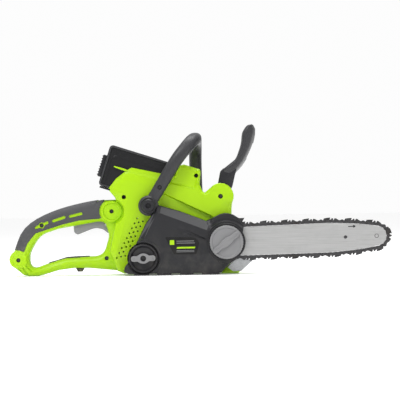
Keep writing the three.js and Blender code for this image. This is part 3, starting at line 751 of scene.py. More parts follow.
# ------------------------------------------------------------------ housing
SHOULDER = points((-163, 150), (-158, 160), (-132.5, 187.5), (-126, 187.6), (-78.8, 174.8), (-50, 168))
SOFT_FOLD = points((-156, 146), (-150, 158), (-131, 175.6), (-118, 171.8), (-87.4, 163.6), (-50, 154))
PAD_RIBS = [
    points((-333.5, 14.2), (-324.5, 1.2)), points((-327.8, 17.0), (-318.8, 2.7)),
    points((-322.8, 20), (-311.5, 9.2))
]
UNDERCUT = points((-112, 168), (-62.4, 149), (-23.3, 129.6), (21.4, 108.3), (34, 96))
REAR_FOLD = points((-109.8, 122), (-121.3, 108.6), (-140.7, 69.5), (-156.3, 32.2), (-160, 18))
REAR_BAND = points((-128, 150), (-136.1, 123.9), (-133.4, 112.6), (-152.4, 41.5), (-160, 26))
LEDGE = points((-90, 175), (-47.2, 164.7), (-6, 154.7), (-2.2, 170), (-1.2, 200))
HANDLE_ROUND, BODY_ROUND, OPEN_ROUND = 11.5, 8.0, 1.5
SOFT_STEP, SHOULDER_STEP, REAR_LEAN, REAR_STEP = 1.5, 2.6, 2.6, 4.6
LEDGE_STEP, LEDGE_WIDE = 3.0, 3.4
UNDERCUT_WIDE, LEFT_SUNK = 2.4, 1.2
RIB_DEPTH, RIB_HALF = 2.2, 1.7


def hull_depth(p):
    """How far a place lies inside the handle's own outline, the grip's skin and the finger opening."""
    return np.minimum(within(p, [handle_edge, body_edge, *grip_area]), -depth_in(p, finger))


def near_opening(p):
    """1 where the housing's rim is open: round the battery, over the guard's arms."""
    u, v = battery_uv(p)
    bay = ease(u + 66, 8) * ease(140 - u, 6) * ease(v + 92, 8)
    arms = ease(p[:, 0] - 20, 6) * ease(p[:, 1] - 127, 6)
    return np.maximum(bay, arms)


def housing_height(p, right):
    """Half width of the housing: the greater of the handle's rounded bar, the ring pad and the body, whose
    edges roll over and whose side steps in at the shoulder, beneath the undercut and over the vents."""
    d = hull_depth(p)
    handle = HANDLE_HALF - roll_over(d, HANDLE_ROUND)
    reach = RING_R - np.hypot(*(p - RING).T)
    pad = np.where(reach > 0, PAD_HALF - roll_over(reach, 2.2) - 2.2 * ease(reach - 4.4, 1.2), 0)
    end = END_R - np.hypot(*(p - END_PAD).T)
    knuckle = np.where(end > 0, HANDLE_HALF + 1.4 - roll_over(end, 2.0) - 1.2 * ease(end - 4, 1.0), 0)
    for rib in PAD_RIBS:
        handle = handle - RIB_DEPTH * ease(RIB_HALF - distance(p, rib, closed=False), 1.0)
    b = depth_in(p, body_edge)
    r = BODY_ROUND - (BODY_ROUND - OPEN_ROUND) * near_opening(p)
    side_wall = BODY_HALF - roll_over(b, r)
    rear = 1 - ease(p[:, 0] + 72, 10)
    side_wall = side_wall - SOFT_STEP * ramp(left_of(p, SOFT_FOLD), 12) * rear
    side_wall = side_wall - SHOULDER_STEP * ramp(left_of(p, SHOULDER), 4.5) * rear
    ledge = left_of(p, LEDGE)
    side_wall = side_wall - LEDGE_STEP * ramp(ledge, LEDGE_WIDE) * ease(p[:, 0] + 64, 4) * ease(b, 3)
    middle = ease(p[:, 0] + 92, 4) * ease(52 - p[:, 0], 14)
    sunk = (3.0 + 5.6 * ramp(p[:, 0] + 54, 26)) if right else LEFT_SUNK
    covered = ease(depth_in(p, cover_edge) - 2, 5)
    under = ramp(-left_of(p, UNDERCUT), UNDERCUT_WIDE) * middle * ease(p[:, 0] + 80, 8)
    side_wall = side_wall - sunk * under * (1 - covered) * ease(b, 8)
    low = (1 - middle) * ramp(134 - p[:, 1], 10)
    side_wall = side_wall - REAR_LEAN * ramp(left_of(p, REAR_FOLD), 26) * low
    band = ramp(-left_of(p, REAR_BAND), 20) * ramp(150 - p[:, 1], 18)
    side_wall = side_wall - REAR_STEP * band * ease(b, 4)
    around_ring = PAD_HALF - 1.5 + 7.0 * np.maximum(-reach - 1.0, 0)
    side_wall = np.where(reach > -5, np.minimum(side_wall, around_ring), side_wall)
    seat = BODY_HALF - 0.4 - 0.8 * np.maximum(np.hypot(*(p - FOOT).T) - 18, 0)
    side_wall = np.maximum(side_wall, seat) if right else side_wall
    body = np.where(b > -1.2, side_wall * ease(b + 1.2, 1.2), 0)
    return np.maximum.reduce([handle, pad, knuckle, body])


def housing_floor(p):
    """How far the rim's wall reaches in: to the seam, except at the battery bay, the guard's arms and the
    trigger's slot."""
    u, v = battery_uv(p)
    bay = (u > -60) & (u < 133.2) & (v > -82.2)
    arms = (p[:, 0] > 26) & (p[:, 0] < 96) & (p[:, 1] > 131) & (p[:, 1] < 200)
    slot_in = (p[:, 0] > -237) & (p[:, 0] < -163) & (p[:, 1] > 70) & (p[:, 1] < 110)
    return np.where(bay, BAY_LIP, np.where(arms, BAY_HALF, np.where(slot_in, 9.6, SEAM)))


SCREWS = points(
    (-137.6, 143.3), (-4.3, 180.6), (-171.8, 31.2), (-161.4, 117.4), (-290.8, 93.3), (-334.8, 29.6)
)
GRIP_SCREW = 4
SCREW_WELL_R, SCREW_WELL_FLOOR = 4.0, 12.0
PIN_HOLE_R = 4.3
VENT_R = 1.65
VENT_COLUMNS = (
    ((-113.7, 103.9), (-152.1, 31.8), 9),
    ((-111.1, 96.5), (-144.1, 34.1), 8),
    ((-103.2, 98.2), (-136.5, 35.3), 8),
)


def vents():
    """Three slanting columns of round vents behind the chain cover."""
    spots = np.vstack([np.linspace(a, b, n) for a, b, n in VENT_COLUMNS])
    clear = depth_in(spots, cover_edge) < -3.0
    return [circle(c, VENT_R, 10) for c in spots[clear]]


def motor_slots():
    """Slanting cooling slots over the motor, on the left side: a longer one in the middle of each row."""
    middles = np.linspace((-74, 92), (-4, 62), 6)
    lean = np.array([0.42, 0.907])
    reach = 15 + 4 * np.sin(math.pi * (np.arange(6) + 0.5) / 6)
    return [slot_outline(c - lean * r, c + lean * r, 2.3, 7) for c, r in zip(middles, reach)]


def shell(name, side):
    """One half of the housing, its screws sunk in wells on the right and its lock-off button on the left."""
    right = side < 0
    wells = [circle(c, SCREW_WELL_R, 20) for c in SCREWS] if right else []
    openings = vents() if right else [*vents(), circle(LOCK_BUTTON, 7.3, 28), *motor_slots()]
    holes = [finger, *wells, circle(GUARD_PIN, PIN_HOLE_R, 24), *openings]
    folds = [SHOULDER, SOFT_FOLD, REAR_FOLD, REAR_BAND, UNDERCUT, beside(UNDERCUT, -UNDERCUT_WIDE)]
    folds += [LEDGE, beside(LEDGE, LEDGE_WIDE), *PAD_RIBS]
    folds += [beside(rib, gap) for rib in PAD_RIBS for gap in (-RIB_HALF, -0.7, 0.7, RIB_HALF)]
    rings = [circle(RING, RING_R + out, 44) for out in (4.0, 1.0, 0.4, -0.01, -4.4, -5.6)]
    edge = resample(body_edge, 3.6)
    rings += [edge + inward(edge) * d for d in (-1.2, 1)] + [circle(FOOT, r, 40) for r in (18, 22)]
    verts, faces = carve(
        [handle_edge, body_edge, ring_edge], lambda p: housing_height(p, right), housing_floor, side,
        holes=holes, lines=[*folds, *map(ring_of, rings)],
        pits=["rim"] + [SCREW_WELL_FLOOR] * len(wells) + [None] * (1 + len(openings)),
    )
    stands_for = name.replace("_moulding", "_shell")
    piece(name, "saw_body", "lime_plastic", verts, faces, [stands_for], solid=1.6, sharp=24)


shell("right_moulding", -1)
shell("left_moulding", 1)


def grip_height(p):
    """The soft skin stands 1.1 over the handle's rounded bar, and its own edges roll down to it."""
    own = np.minimum(within(p, grip_area), 3.0)
    return HANDLE_HALF + 1.6 - roll_over(
        hull_depth(p), HANDLE_ROUND + 1.0
    ) - roll_over(own, 0.9) * (hull_depth(p) > 3)


def grip_floor(p):
    """The skin's rim reaches the seam along the handle's outer edge, and elsewhere only just beneath
    the skin."""
    return np.where(hull_depth(p) < 1.5, SEAM + 0.2, grip_height(p) - 2.4)


for tag, side in (("right", -1), ("left", 1)):
    button = [] if side < 0 else [circle(LOCK_BUTTON, 7.6, 28)]
    sink = [circle(SCREWS[GRIP_SCREW], 5.6, 28)]
    verts, faces = carve(
        grip_area, grip_height, grip_floor, side, holes=[*slots, *button, *sink], step=2.8,
        pits=[15.5] * len(slots) + [14.0] * len(button + sink), rim=(0.4, 1.0, 2.0, 3.4, 5.2, 7.6),
    )
    piece(f"grip_skin_{tag}", "saw_body", "soft_grip", verts, faces, [f"grip_{tag}"], solid=0.9, sharp=30)


# ------------------------------------------------------------------ chain cover
COVER_FACE, COVER_SEAT = 74.0, 43.8
TOP_SLOPE, REAR_SLOPE, LOW_SLOPE, CHAMFER_WIDE = 0.78, 0.8, 0.13, 26
DENT_DEPTH, CAP_WELL, KNOB_STEP = 1.9, 11.5, 6.5
TOP_STRIP = points((-92, 120.5), (-71.5, 112.6), (13.5, 80.2), (30, 72))
REAR_STRIP = points((-71, 122), (-79.3, 106.7), (-101.1, 64.7), (-106, 54))
DENT_TOP = points((-40, 91), (-18, 80), (20, 61.5))
DENT_LOW = points((-18.6, 72.5), (0, 66.5), (20, 60))
LOW_FOLD = points((-62, 24), (-38, 28.5), (0, 35), (24, 39.5))


def cover_height(p):
    """The cover's face: two wide chamfers along its top and rear edges, a shallow groove running to
    the knob, a fold that leans the lower part back, a raised rim round the oil cap and a well round
    the knob."""
    edge = depth_in(p, cover_edge)
    y = COVER_FACE - TOP_SLOPE * np.clip(left_of(p, TOP_STRIP), 0, CHAMFER_WIDE) * ease(34 - p[:, 0], 22)
    rear = np.clip(-left_of(p, REAR_STRIP), 0, CHAMFER_WIDE) * ease(p[:, 1] - 52, 6)
    y = np.minimum(y, COVER_FACE - REAR_SLOPE * rear)
    dent = ramp(-left_of(p, DENT_TOP), 1.6) * ramp(left_of(p, DENT_LOW), 1.6) * ease(p[:, 0] + 42, 20)
    y = y - DENT_DEPTH * dent
    y = y - LOW_SLOPE * np.clip(-left_of(p, LOW_FOLD), 0, CHAMFER_WIDE) * ease(p[:, 0] + 70, 12)
    cap = np.hypot(*(p - CAP).T)
    y = np.where(cap < 40, np.maximum(y, COVER_FACE - 9 * ramp(cap - 33.6, 6)), y)
    y = y + 0.9 * ramp(cap - 30.4, 0.8) * ramp(34.4 - cap, 1.2)
    y = np.where(cap < 29.5, COVER_FACE - CAP_WELL, y)
    knob = np.hypot(*(p - STUD).T)
    collar = COVER_FACE - KNOB_STEP * ramp(knob - 38, 3) * ramp(p[:, 0] - 14, 8) * ramp(p[:, 1] - 62, 10)
    y = np.where(p[:, 0] > 14, np.minimum(y, collar), y)
    y = np.where(knob < 37.4, COVER_FACE, y)
    return y - roll_over(edge, 2.6)


def cover_floor(p):
    """The cover's wall reaches the housing, except where the bar comes out at its front."""
    open_front = (p[:, 0] > 44) & (p[:, 1] > 16) & (p[:, 1] < 100)
    return np.where(open_front, 60.0, COVER_SEAT)


cap_rings = [circle(CAP, r, 56) for r in (29.3, 29.7, 31, 32, 33.4, 35)]
knob_rings = [circle(STUD, r, 56) for r in (37.2, 37.6, 41)]
verts, faces = carve(
    [cover_edge], cover_height, cover_floor, -1, holes=[circle(CAP, 20.2, 40), circle(STUD, 9.4, 32)],
    lines=[TOP_STRIP, REAR_STRIP, DENT_TOP, beside(DENT_TOP, -2.2), DENT_LOW, beside(DENT_LOW, 2.2), LOW_FOLD,
           *map(ring_of, cap_rings + knob_rings)],
    pits=[61.0, None], step=3.2, rim=(0.3, 0.8, 1.6, 2.6, 3.6, 6.0),
)
piece("chain_cover_moulding", "saw_body", "dark_plastic", verts, faces, ["chain_cover"], solid=2.2, sharp=16)


def painted_highlight_skin(name, fold, side, near):
    """A thin lighter grey skin on one chamfer of the cover, between its fold and the cover's own edge: a
    painted highlight that stands for the light the chamfer catches.
    """
    edge = resample(cover_edge, 3.0)
    rim = edge + inward(edge) * 1.8
    rim = rim[(side * left_of(rim, fold) > 2.5) & near(rim)]
    fold = beside(fold, side * 0.6)
    fold = fold[:: 1 if area(np.vstack([rim, fold])) > 0 else -1]
    verts, faces = carve(
        [np.vstack([rim, fold])], lambda p: cover_height(p) + 0.25, lambda p: cover_height(p) - 0.5, -1,
        step=3.2, rim=(0.4, 1.2, 3.0),
    )
    piece(name, "saw_body", "soft_grip", verts, faces, sharp=30)


# painted highlights: lighter grey skins where the cover's top and rear chamfers catch the light
painted_highlight_skin("cover_top_painted_highlight", TOP_STRIP[1:3], 1, lambda p: (p[:, 0] > -71) & (p[:, 0] < 21))
painted_highlight_skin("cover_rear_painted_highlight", REAR_STRIP[1:3], -1, lambda p: (p[:, 1] > 62) & (p[:, 1] < 112) & (p[:, 0] < -70))


def cut_out(obj, verts, faces):
    """Takes a closed cutter away from a piece, and leaves the result as the piece's own mesh."""
    mesh = bpy.data.meshes.new("cutter")
    mesh.from_pydata((np.asarray(verts) * MM).tolist(), [], [list(map(int, f)) for f in faces])
    solid = bmesh.new()
    solid.from_mesh(mesh)
    bmesh.ops.recalc_face_normals(solid, faces=solid.faces)
    solid.to_mesh(mesh)
    solid.free()
    cutter = bpy.data.objects.new("cutter", mesh)
    bpy.context.scene.collection.objects.link(cutter)
    cutting = obj.modifiers.new("opening", "BOOLEAN")
    cutting.object, cutting.operation, cutting.solver = cutter, "DIFFERENCE", "EXACT"
    bpy.context.view_layer.update()
    found = obj.evaluated_get(bpy.context.evaluated_depsgraph_get())
    made = bpy.data.meshes.new_from_object(found)
    obj.modifiers.clear()
    obj.data = made
    bpy.data.objects.remove(cutter)
    made.set_sharp_from_angle(angle=math.radians(34))
    return obj


# ------------------------------------------------------------------ front handle
HANDLE_PATH = np.array(
    [
        (-92.2, -56.5, 126.8), (-79, -56.5, 147), (-66, -56.5, 168), (-41, -56.5, 208), (-23, -50, 231),
        (-11, -36, 244.5), (-6, -15, 248.5), (-5, 25, 249), (-5, 52, 246), (-5, 71, 232), (-5.5, 79, 208),
        (-5, 80, 170), (-4, 78, 136), (-4, 66, 114), (-4, 43.7, 104)
    ],
    float
)


def swept(path, across, half_a, half_b, power=2.4, sides=28):
    """A superellipse |a|^n + |b|^n = 1 carried along a path, its half widths given at each step: half_a along
    the part of `across` square to the path, half_b square to both."""
    way = np.gradient(path, axis=0)
    way /= np.linalg.norm(way, axis=1)[:, None]
    a = across - np.sum(across * way, axis=1)[:, None] * way
    a /= np.linalg.norm(a, axis=1)[:, None]
    b = np.cross(way, a)
    turn = np.linspace(0, 2 * math.pi, sides, endpoint=False)
    c, s = np.cos(turn), np.sin(turn)
    ca, sb = np.sign(c) * np.abs(c) ** (2 / power), np.sign(s) * np.abs(s) ** (2 / power)
    ring = (half_a[:, None] * ca)[..., None] * a[:, None] + (half_b[:, None] * sb)[..., None] * b[:, None]
    return path[:, None] + ring


bar_path = spline(HANDLE_PATH, 110)
way_along = np.linspace(0, 1, len(bar_path))
flat = 1 - ease(way_along - 0.03, 0.22)
left_foot = ease(way_along - 0.9, 0.1)
wide = 11.8 - 0.8 * flat + 2.0 * left_foot
thick = 11.6 - 4.2 * flat
tube = loft(swept(bar_path, np.array([[1.0, 0.0, 0.0]]), wide, thick, 2.5))
boss = turned(
    [
        (0, -44.4), (15, -44.4), (18.6, -46), (18.8, -60), (17.6, -63.5), (14.6, -65.4), (14.0, -64.0),
        (0, -64.0)
    ],
    FOOT, 64
)
foot = turned([(0, 43.7), (15.6, 43.7), (15.6, 49), (13, 53), (0, 54)], LEFT_FOOT, 48)
handle_bar = piece("front_handle_bar", "saw_body", "grey_plastic", *tube, ["front_handle"], sharp=40)
piece("front_handle_feet", "saw_body", "grey_plastic", *put_together(boss, foot), sharp=40)
bolt = turned(
    [
        (0, -60), (9.6, -60), (11.6, -64), (11.6, -70.4), (10.2, -72.4), (5.4, -72.4), (4.7, -71.4),
        (4.7, -66.5), (0, -66.5)
    ],
    FOOT, 48
)
piece("handle_bolt_cover", "saw_body", "dark_plastic", *bolt, ["handle_bolt"], bevel=0.3)

screw_well = turned([(0, -70), (4.0, -70), (4.0, -60.4), (0, -60.4)], HANDLE_SCREW, 28)
cut_out(handle_bar, *screw_well)
screw = turned(
    [(0, -60.2), (3.6, -60.2), (3.6, -61.4), (2.9, -62.0), (1.7, -62.0), (1.5, -61.0), (0, -61.0)],
    HANDLE_SCREW, 24
)
piece("handle_screw_head", "saw_body", "chain_steel", *screw, ["handle_screw"])
lip = points((-155.6, 201.2), (-154.4, 198.3), (-134.4, 190.8), (-129, 192.0), (-132.4, 194.4))
for tag, y0, y1 in (("right", -41.4, -38.2), ("left", 38.2, 41.4)):
    piece(f"battery_rail_{tag}", "saw_body", "lime_plastic", *plate(rounded(lip, 1.2, 3), y0, y1), bevel=0.5)
strip_top = points((-279, 24.8), (-262, 29.4), (-246.6, 34.2), (-225, 35.4), (-204, 35.9))
strip_side = np.vstack([strip_top, strip_top[::-1] - [0, 2.6]])
piece("lower_bar_strip", "saw_body", "soft_grip", *plate(strip_side, -10.5, 10.5), bevel=0.4)

# ------------------------------------------------------------------ hand guard
SHIELD_OUT = points(
    (27.8, 142), (36, 166), (40.3, 187.3), (45.3, 191.4), (59.5, 202.4), (70.9, 212.2), (78.1, 228.8),
    (82, 242.9), (83.7, 258), (87, 266), (93, 272.4), (101.5, 273.5)
)
SHIELD_IN = points(
    (51.8, 142), (62.2, 160), (67.6, 182.6), (70.5, 188), (79.2, 198), (86, 208), (92.1, 218.8),
    (99.4, 235.6), (103.9, 252.5), (104.6, 260), (104.6, 267), (101.5, 273.5)
)
SHIELD_FOOT = 184


def shield():
    """The guard's sheet: its front and back profiles joined across from y = -40 to 74, the middle bulging
    forward by the cosine of the way across."""
    rear, front = (spline(np.insert(side, 1, 0, axis=1), 36) for side in (SHIELD_OUT, SHIELD_IN))
    keep = rear[:, 2] > SHIELD_FOOT
    rear, front = rear[keep], front[keep]
    turn = np.linspace(0, 2 * math.pi, 96, endpoint=False)
    c, s = np.cos(turn), np.sin(turn)
    across = np.sign(c) * np.abs(c) ** 0.22
    depth = np.sign(s) * np.abs(s) ** 0.62
    t = ease(rear[:, 2:3] - SHIELD_FOOT, 12)
    half = 36 + 21 * t * (1 - 0.12 * ramp(rear[:, 2:3] - 258, 15) ** 2)
    mid = 17 * t
    centre, reach = (rear + front) / 2, (front - rear) / 2
    bulge = 5.0 * np.cos(across * math.pi / 2) * t
    x = centre[:, :1] + reach[:, :1] * depth + bulge - 3.0 * t
    z = centre[:, 2:] + reach[:, 2:] * depth
    return loft(np.stack([x, mid + half * across, z], -1))


def stacked(loop, levels, place=None):
    """A skin through copies of an outline: each level is (inset, y), and place may turn (a, b, y) into
    x, y, z."""
    loop = counterclockwise(loop)
    rings = [np.column_stack([loop + inward(loop) * inset, np.full(len(loop), y)]) for inset, y in levels]
    verts, faces = loft(np.array(rings))
    verts = verts if place is None else place(verts)
    return (verts[:, [0, 2, 1]] if place is None else verts), faces


guard_sheet = piece("hand_guard_sheet", "guard", "grey_plastic", *shield(), ["hand_guard"], sharp=60)
window = rounded(points((-14, 212), (48, 212), (48, 240), (-14, 240)), 9, 7)
rows = [np.column_stack([np.full(len(window), x), window]) for x in (30, 130)]
cut_out(guard_sheet, *loft(np.array(rows)))
arm = np.vstack(
    [
        points((36, 166), (40.3, 187.3), (45.3, 193), (60, 200), (70.5, 191.7), (67.6, 182.6), (62.2, 160)),
        arc(GUARD_PIN, 12, -10, -185, 14)
    ]
)
for tag, y0, y1 in (("right", -37, -28), ("left", 28, 37)):
    levels = [(2.2, y0), (0.8, y0 + 0.6), (0, y0 + 2.2), (0, y1 - 2.2), (0.8, y1 - 0.6), (2.2, y1)]
    piece(f"hand_guard_arm_{tag}", "guard", "dark_plastic", *stacked(rounded(arm, 2.0, 4), levels), sharp=50)


# ------------------------------------------------------------------ battery and latch
def on_battery(verts):
    """(along, up, y) on the battery turned into x, y, z."""
    spot = BATTERY + verts[:, :1] * ALONG + verts[:, 1:2] * UP
    return np.column_stack([spot[:, 0], verts[:, 2], spot[:, 1]])


def pack_ring(inset, y, r=8.0, box=(0, 129, -78, 0)):
    """One ring of the battery's skin: its rounded side outline drawn in by inset, at y."""
    u0, u1, v0, v1 = box[0] + inset, box[1] - inset, box[2] + inset, box[3] - inset
    ring = rounded(points((u0, v0), (u1, v0), (u1, v1), (u0, v1)), max(r - inset, 0.8), 7)
    return np.column_stack([ring, np.full(len(ring), y)])


case_half = [
    (4.6, 35.0), (4.3, 36.2), (3.9, 36.9), (1.2, 37.0), (0.4, 36.6), (0, 35.6), (0, 27.2), (0.8, 26.6),
    (0.8, 25.2), (0, 24.6)
]
levels = [(inset, -y) for inset, y in case_half] + [(inset, y) for inset, y in case_half[::-1]]
verts, faces = loft(np.array([pack_ring(inset, y) for inset, y in levels]))
battery = piece(
    "battery_case", "battery", "black_plastic", on_battery(verts), faces, ["battery_pack"], sharp=30
)


def battery_box(u0, u1, v0, v1, half_width, r=2.0):
    """A box in the battery's own directions, its four long edges rounded."""
    ring = rounded(points((u0, v0), (u1, v0), (u1, v1), (u0, v1)), r, 4)
    return stacked(ring, [(0, -half_width), (0, half_width)], on_battery)


cut_out(battery, *battery_box(-6, 5.6, -65, -19, 24))
cut_out(battery, *battery_box(113.6, 140, -90, -57.4, 21.5))
RIM_LEVELS = ((0.9, 36.5), (0.9, 37.4), (1.5, 37.8), (3.2, 37.8), (3.8, 37.4), (3.8, 36.0))
PANEL_LEVELS = ((0, 34.6), (0, 35.3), (0.7, 35.7), (6, 35.7))
for tag, side in (("right", -1), ("left", 1)):
    rim = np.array([pack_ring(inset, side * y) for inset, y in RIM_LEVELS])
    rim_faces = quads(*rim.shape[:2], True, True)
    piece(
        f"battery_rim_{tag}", "battery", "grey_plastic", on_battery(rim.reshape(-1, 3)), rim_faces, sharp=40
    )
    panel = [pack_ring(inset, side * y, 9.0, (10, 119, -78, -16)) for inset, y in PANEL_LEVELS]
    verts, faces = loft(np.array(panel))
    piece(f"battery_panel_{tag}", "battery", "black_plastic", on_battery(verts), faces, sharp=30)
ribs = [(-8.5 + 0.9 * (abs(k - 3.5) > 3), -59.5 + 5 * k) for k in range(8)]
latch_side = [(1.3, -62.8), (-6.4, -62.8)]
for _, v in ribs:
    latch_side += [(-7.2, v - 1.2), (-8.5, v - 0.5), (-8.5, v + 0.9), (-7.2, v + 1.6)]
latch_side += [(-6.4, -21.2), (1.3, -21.2)]
levels = [(1.0, -22.8), (0.3, -22.4), (0, -21.4), (0, 21.4), (0.3, 22.4), (1.0, 22.8)]
piece(
    "battery_latch_tab", "latch", "dark_plastic", *stacked(points(*latch_side), levels, on_battery),
    ["battery_latch"], sharp=40
)

# ------------------------------------------------------------------ trigger, lock-off button
blade, *blade_holes = section("trigger", 0.0)
blade_plate = plate(rounded(blade, 4.0, 5), -9, 9, blade_holes)
trigger = piece("trigger_blade", "trigger", "pale_plastic", *blade_plate, ["trigger"], bevel=2.2, sharp=50)
cut_out(trigger, *turned([(0, -4.9), (8.2, -4.9), (8.2, 4.9), (0, 4.9)], (-212, 101.5), 28))
button = turned(
    [(0, 21.5), (5.6, 21.5), (5.6, 8.2), (6.2, 8.2), (7, 9), (7, 24), (6.3, 25.2), (5.2, 25.5), (4.2, 24.9),
     (2, 24.4), (0, 24.3)], LOCK_BUTTON, 36,
)
piece("lock_off_cap", "lock_button", "dark_plastic", *button, ["lock_off_button"], sharp=40)


# ------------------------------------------------------------------ knob, tension ring and oil cap
def flutes(turn, y):
    """Forty flutes round the knob's rim: 1 + 0.012 cos 40 a, between the rim's two edges."""
    return 1 + 0.012 * np.cos(40 * turn) * (np.abs(y + 83.8) < 3.4)


def teeth(turn, y):
    """Seventy-two teeth round the tension ring, between its two edges."""
    return 1 + 0.009 * np.cos(72 * turn) * (np.abs(y + 76.8) < 1.9)


def lugs(turn, y):
    """Thirty low lugs round the oil cap's rim."""
    return 1 + 0.01 * np.cos(30 * turn) * (y < -68) * (y > -75)


knob_face = turned(
    [
        (0, -79.6), (29.2, -79.6), (30.6, -80.4), (30.6, -81), (30.6, -87), (30, -88.2), (28.8, -88.8),
        (27.2, -88.8), (26.2, -88.2), (25.2, -87.2), (20, -87.0), (8, -87.2), (0, -87.2)
    ],
    STUD, 160, flutes
)
lean = np.array([20, 15.6]) / math.hypot(20, 15.6)
square_to = np.array([-lean[1], lean[0]])
bow = points(
    (-29, 0), (-27.6, 4.2), (-22, 5.8), (-14, 4.6), (-5, 7.6), (5, 7.6), (14, 4.6), (22, 5.8), (27.6, 4.2),
    (29, 0), (27.6, -4.2), (22, -5.8), (14, -4.6), (5, -7.6), (-5, -7.6), (-14, -4.6), (-22, -5.8),
    (-27.6, -4.2)
)
wing_side = rounded(bow, 3, 4) @ np.array([lean, square_to]) + STUD
wing = stacked(wing_side, [(0, -86.4), (0, -89.8), (0.5, -90.9), (1.5, -91.5)])
dimples = [
    turned([(2.4, -91.2), (2.4, -91.9), (1.7, -91.9), (1.5, -91.3), (0, -91.3)], STUD + s * lean * 21, 20)
    for s in (-1, 1)
]
piece(
    "bar_knob_face", "knob", "pale_plastic", *put_together(knob_face, wing, *dimples), ["bar_knob"],
    sharp=34
)
wheel, _ = turned(
    [
        (31.4, -78.9), (33.8, -78.9), (34.5, -78.2), (34.5, -75.2), (33.9, -74.6), (11, -74.6), (11, -78.2),
        (29.4, -78.2)
    ],
    STUD, 216, teeth
)
piece(
    "tension_ring_wheel", "ring", "dark_plastic", wheel, quads(8, 216, True, True), ["tension_ring"],
    sharp=40
)
cap = turned(
    [
        (0, -62.6), (18.8, -62.6), (18.8, -64), (24.6, -64), (26.2, -65.2), (26.2, -74.2), (25.6, -75.4),
        (24.6, -75.8), (23.4, -75.6), (22.4, -73.6), (20, -71.6), (12, -70.8), (8, -71), (7.6, -75.4),
        (0, -75.4)
    ],
    CAP, 120, lugs
)
piece("oil_cap_dish", "oil_cap", "dark_plastic", *cap, ["oil_cap"], sharp=30)
cap_bow = points(
    (-22.6, 0), (-21.4, 4.3), (-17, 5.2), (-10.5, 4.9), (-8.6, 6.6), (-4.8, 8.6), (0, 9.6), (4.8, 8.6),
    (8.6, 6.6), (10.5, 4.9), (17, 5.2), (21.4, 4.3), (22.6, 0), (21.4, -4.3), (17, -5.2), (10.5, -4.9),
    (8.6, -6.6), (4.8, -8.6), (0, -9.6), (-4.8, -8.6), (-8.6, -6.6), (-10.5, -4.9), (-17, -5.2),
    (-21.4, -4.3)
)
tilt = np.array([[math.cos(0.03), math.sin(0.03)], [-math.sin(0.03), math.cos(0.03)]])
wing_plate = plate(rounded(cap_bow, 1.6, 3) @ tilt + CAP, -79.5, -75.7, [circle(CAP, 5.3, 32)])
studs = [
    turned(
        [(2.1, -79.2), (2.1, -80.0), (1.5, -80.0), (1.3, -79.4), (0, -79.4)],
        CAP + np.array([s * 17.4, s * 0.5]), 18
    )
    for s in (-1, 1)
]
core = turned([(0, -75.3), (4.6, -75.3), (4.6, -76.2), (4.0, -76.6), (2.0, -76.0), (0, -76.0)], CAP, 32)
piece("oil_cap_core", "oil_cap", "black_plastic", *core, sharp=40)
piece(
    "oil_cap_grip", "oil_cap", "pale_plastic", *put_together(wing_plate, *studs), ["oil_cap_wing"],
    bevel=0.7, sharp=40
)

# ------------------------------------------------------------------ label: a dark plate, plain marks
badge = rounded(points((-62.4, 69.3), (-8.9, 68.4), (-0.5, 59.1), (-5.9, 37.5), (-46.7, 37.8)), 2.4, 5)
piece(
    "cover_badge", "saw_body", "label", *stacked(badge, [(0, -74.0), (0, -74.7), (0.3, -74.9)]),
    ["label_plate"], sharp=30
)
marks = {
    "badge_square": (
        "lime_plastic", [rounded(points((-54, 55), (-46, 55), (-46, 63.5), (-54, 63.5)), 0.8, 3)]
    ),
    "badge_stripes": (
        "pale_plastic",
        [
            points((-42, z), (-10 + s, z), (-10 + s, z + 1.1), (-42, z + 1.1)) for z,
            s in ((61, 0), (57.4, 1.5))
        ]
    ),
    "badge_bands": ("lime_plastic", [points((-42, 48), (-9, 48), (-7.6, 51), (-40.6, 51))]),
    "badge_lines": (
        "pale_plastic", [points((-42, z), (-10, z), (-10, z + 0.8), (-42, z + 0.8)) for z in (44, 41.6)]
    )
}
for name, (slot, shapes) in marks.items():
    piece(
        name, "saw_body", slot,
        *put_together(*[stacked(shape, [(0, -74.85), (0, -75.0)]) for shape in shapes])
    )

# ------------------------------------------------------------------ guide bar and chain
DRIVE, BAR_Y, BAR_TILT = np.array([-10.0, 57.0]), -52.0, math.radians(1.44)
NOSE, NOSE_R = 334.4, 18.5
BAR_AXES = np.array([[math.cos(BAR_TILT), math.sin(BAR_TILT)], [-math.sin(BAR_TILT), math.cos(BAR_TILT)]])


def on_bar(p):
    """Places along and across the bar, from the drive sprocket's centre, turned into (x, z)."""
    return DRIVE + np.asarray(p, float) @ BAR_AXES


bar_loops = section("guide_bar", BAR_Y)
bar_plate = plate(bar_loops[0], BAR_Y - 2, BAR_Y + 2, bar_loops[1:])
nose_side = np.vstack(
    [
        points((296, -21.6), (300, -22.4), (318, -20.6)), arc((NOSE, 0), NOSE_R - 0.7, -70, 70, 24),
        points((318, 20.6), (300, 22.4), (296, 21.6))
    ]
)
nose_plates = [plate(on_bar(nose_side), BAR_Y + y, BAR_Y + y + 0.5) for y in (-2.35, 1.85)]
piece("guide_bar_blade", "bar", "bar_steel", *bar_plate, ["guide_bar"], bevel=0.45, sharp=40)
piece("guide_bar_nose_plates", "bar", "bar_steel", *put_together(*nose_plates), sharp=40)
nose_ring = [
    (3.9, BAR_Y - 2.3), (3.7, BAR_Y - 2.65), (3.1, BAR_Y - 2.65), (2.9, BAR_Y - 2.2), (0, BAR_Y - 2.2)
]
nose_ring += [(r, 2 * BAR_Y - y) for r, y in nose_ring[::-1]]
piece("guide_bar_rivets", "bar", "chain_steel", *turned(nose_ring, on_bar((NOSE, 0)), 28), sharp=40)
plug = [
    (0, BAR_Y - 2.1), (2.9, BAR_Y - 2.1), (3.4, BAR_Y - 1.8), (3.4, BAR_Y + 1.8), (2.9, BAR_Y + 2.1),
    (0, BAR_Y + 2.1)
]
piece("guide_bar_plug", "bar", "chain_steel", *turned(plug, on_bar((277.6, 0)), 24), sharp=40)
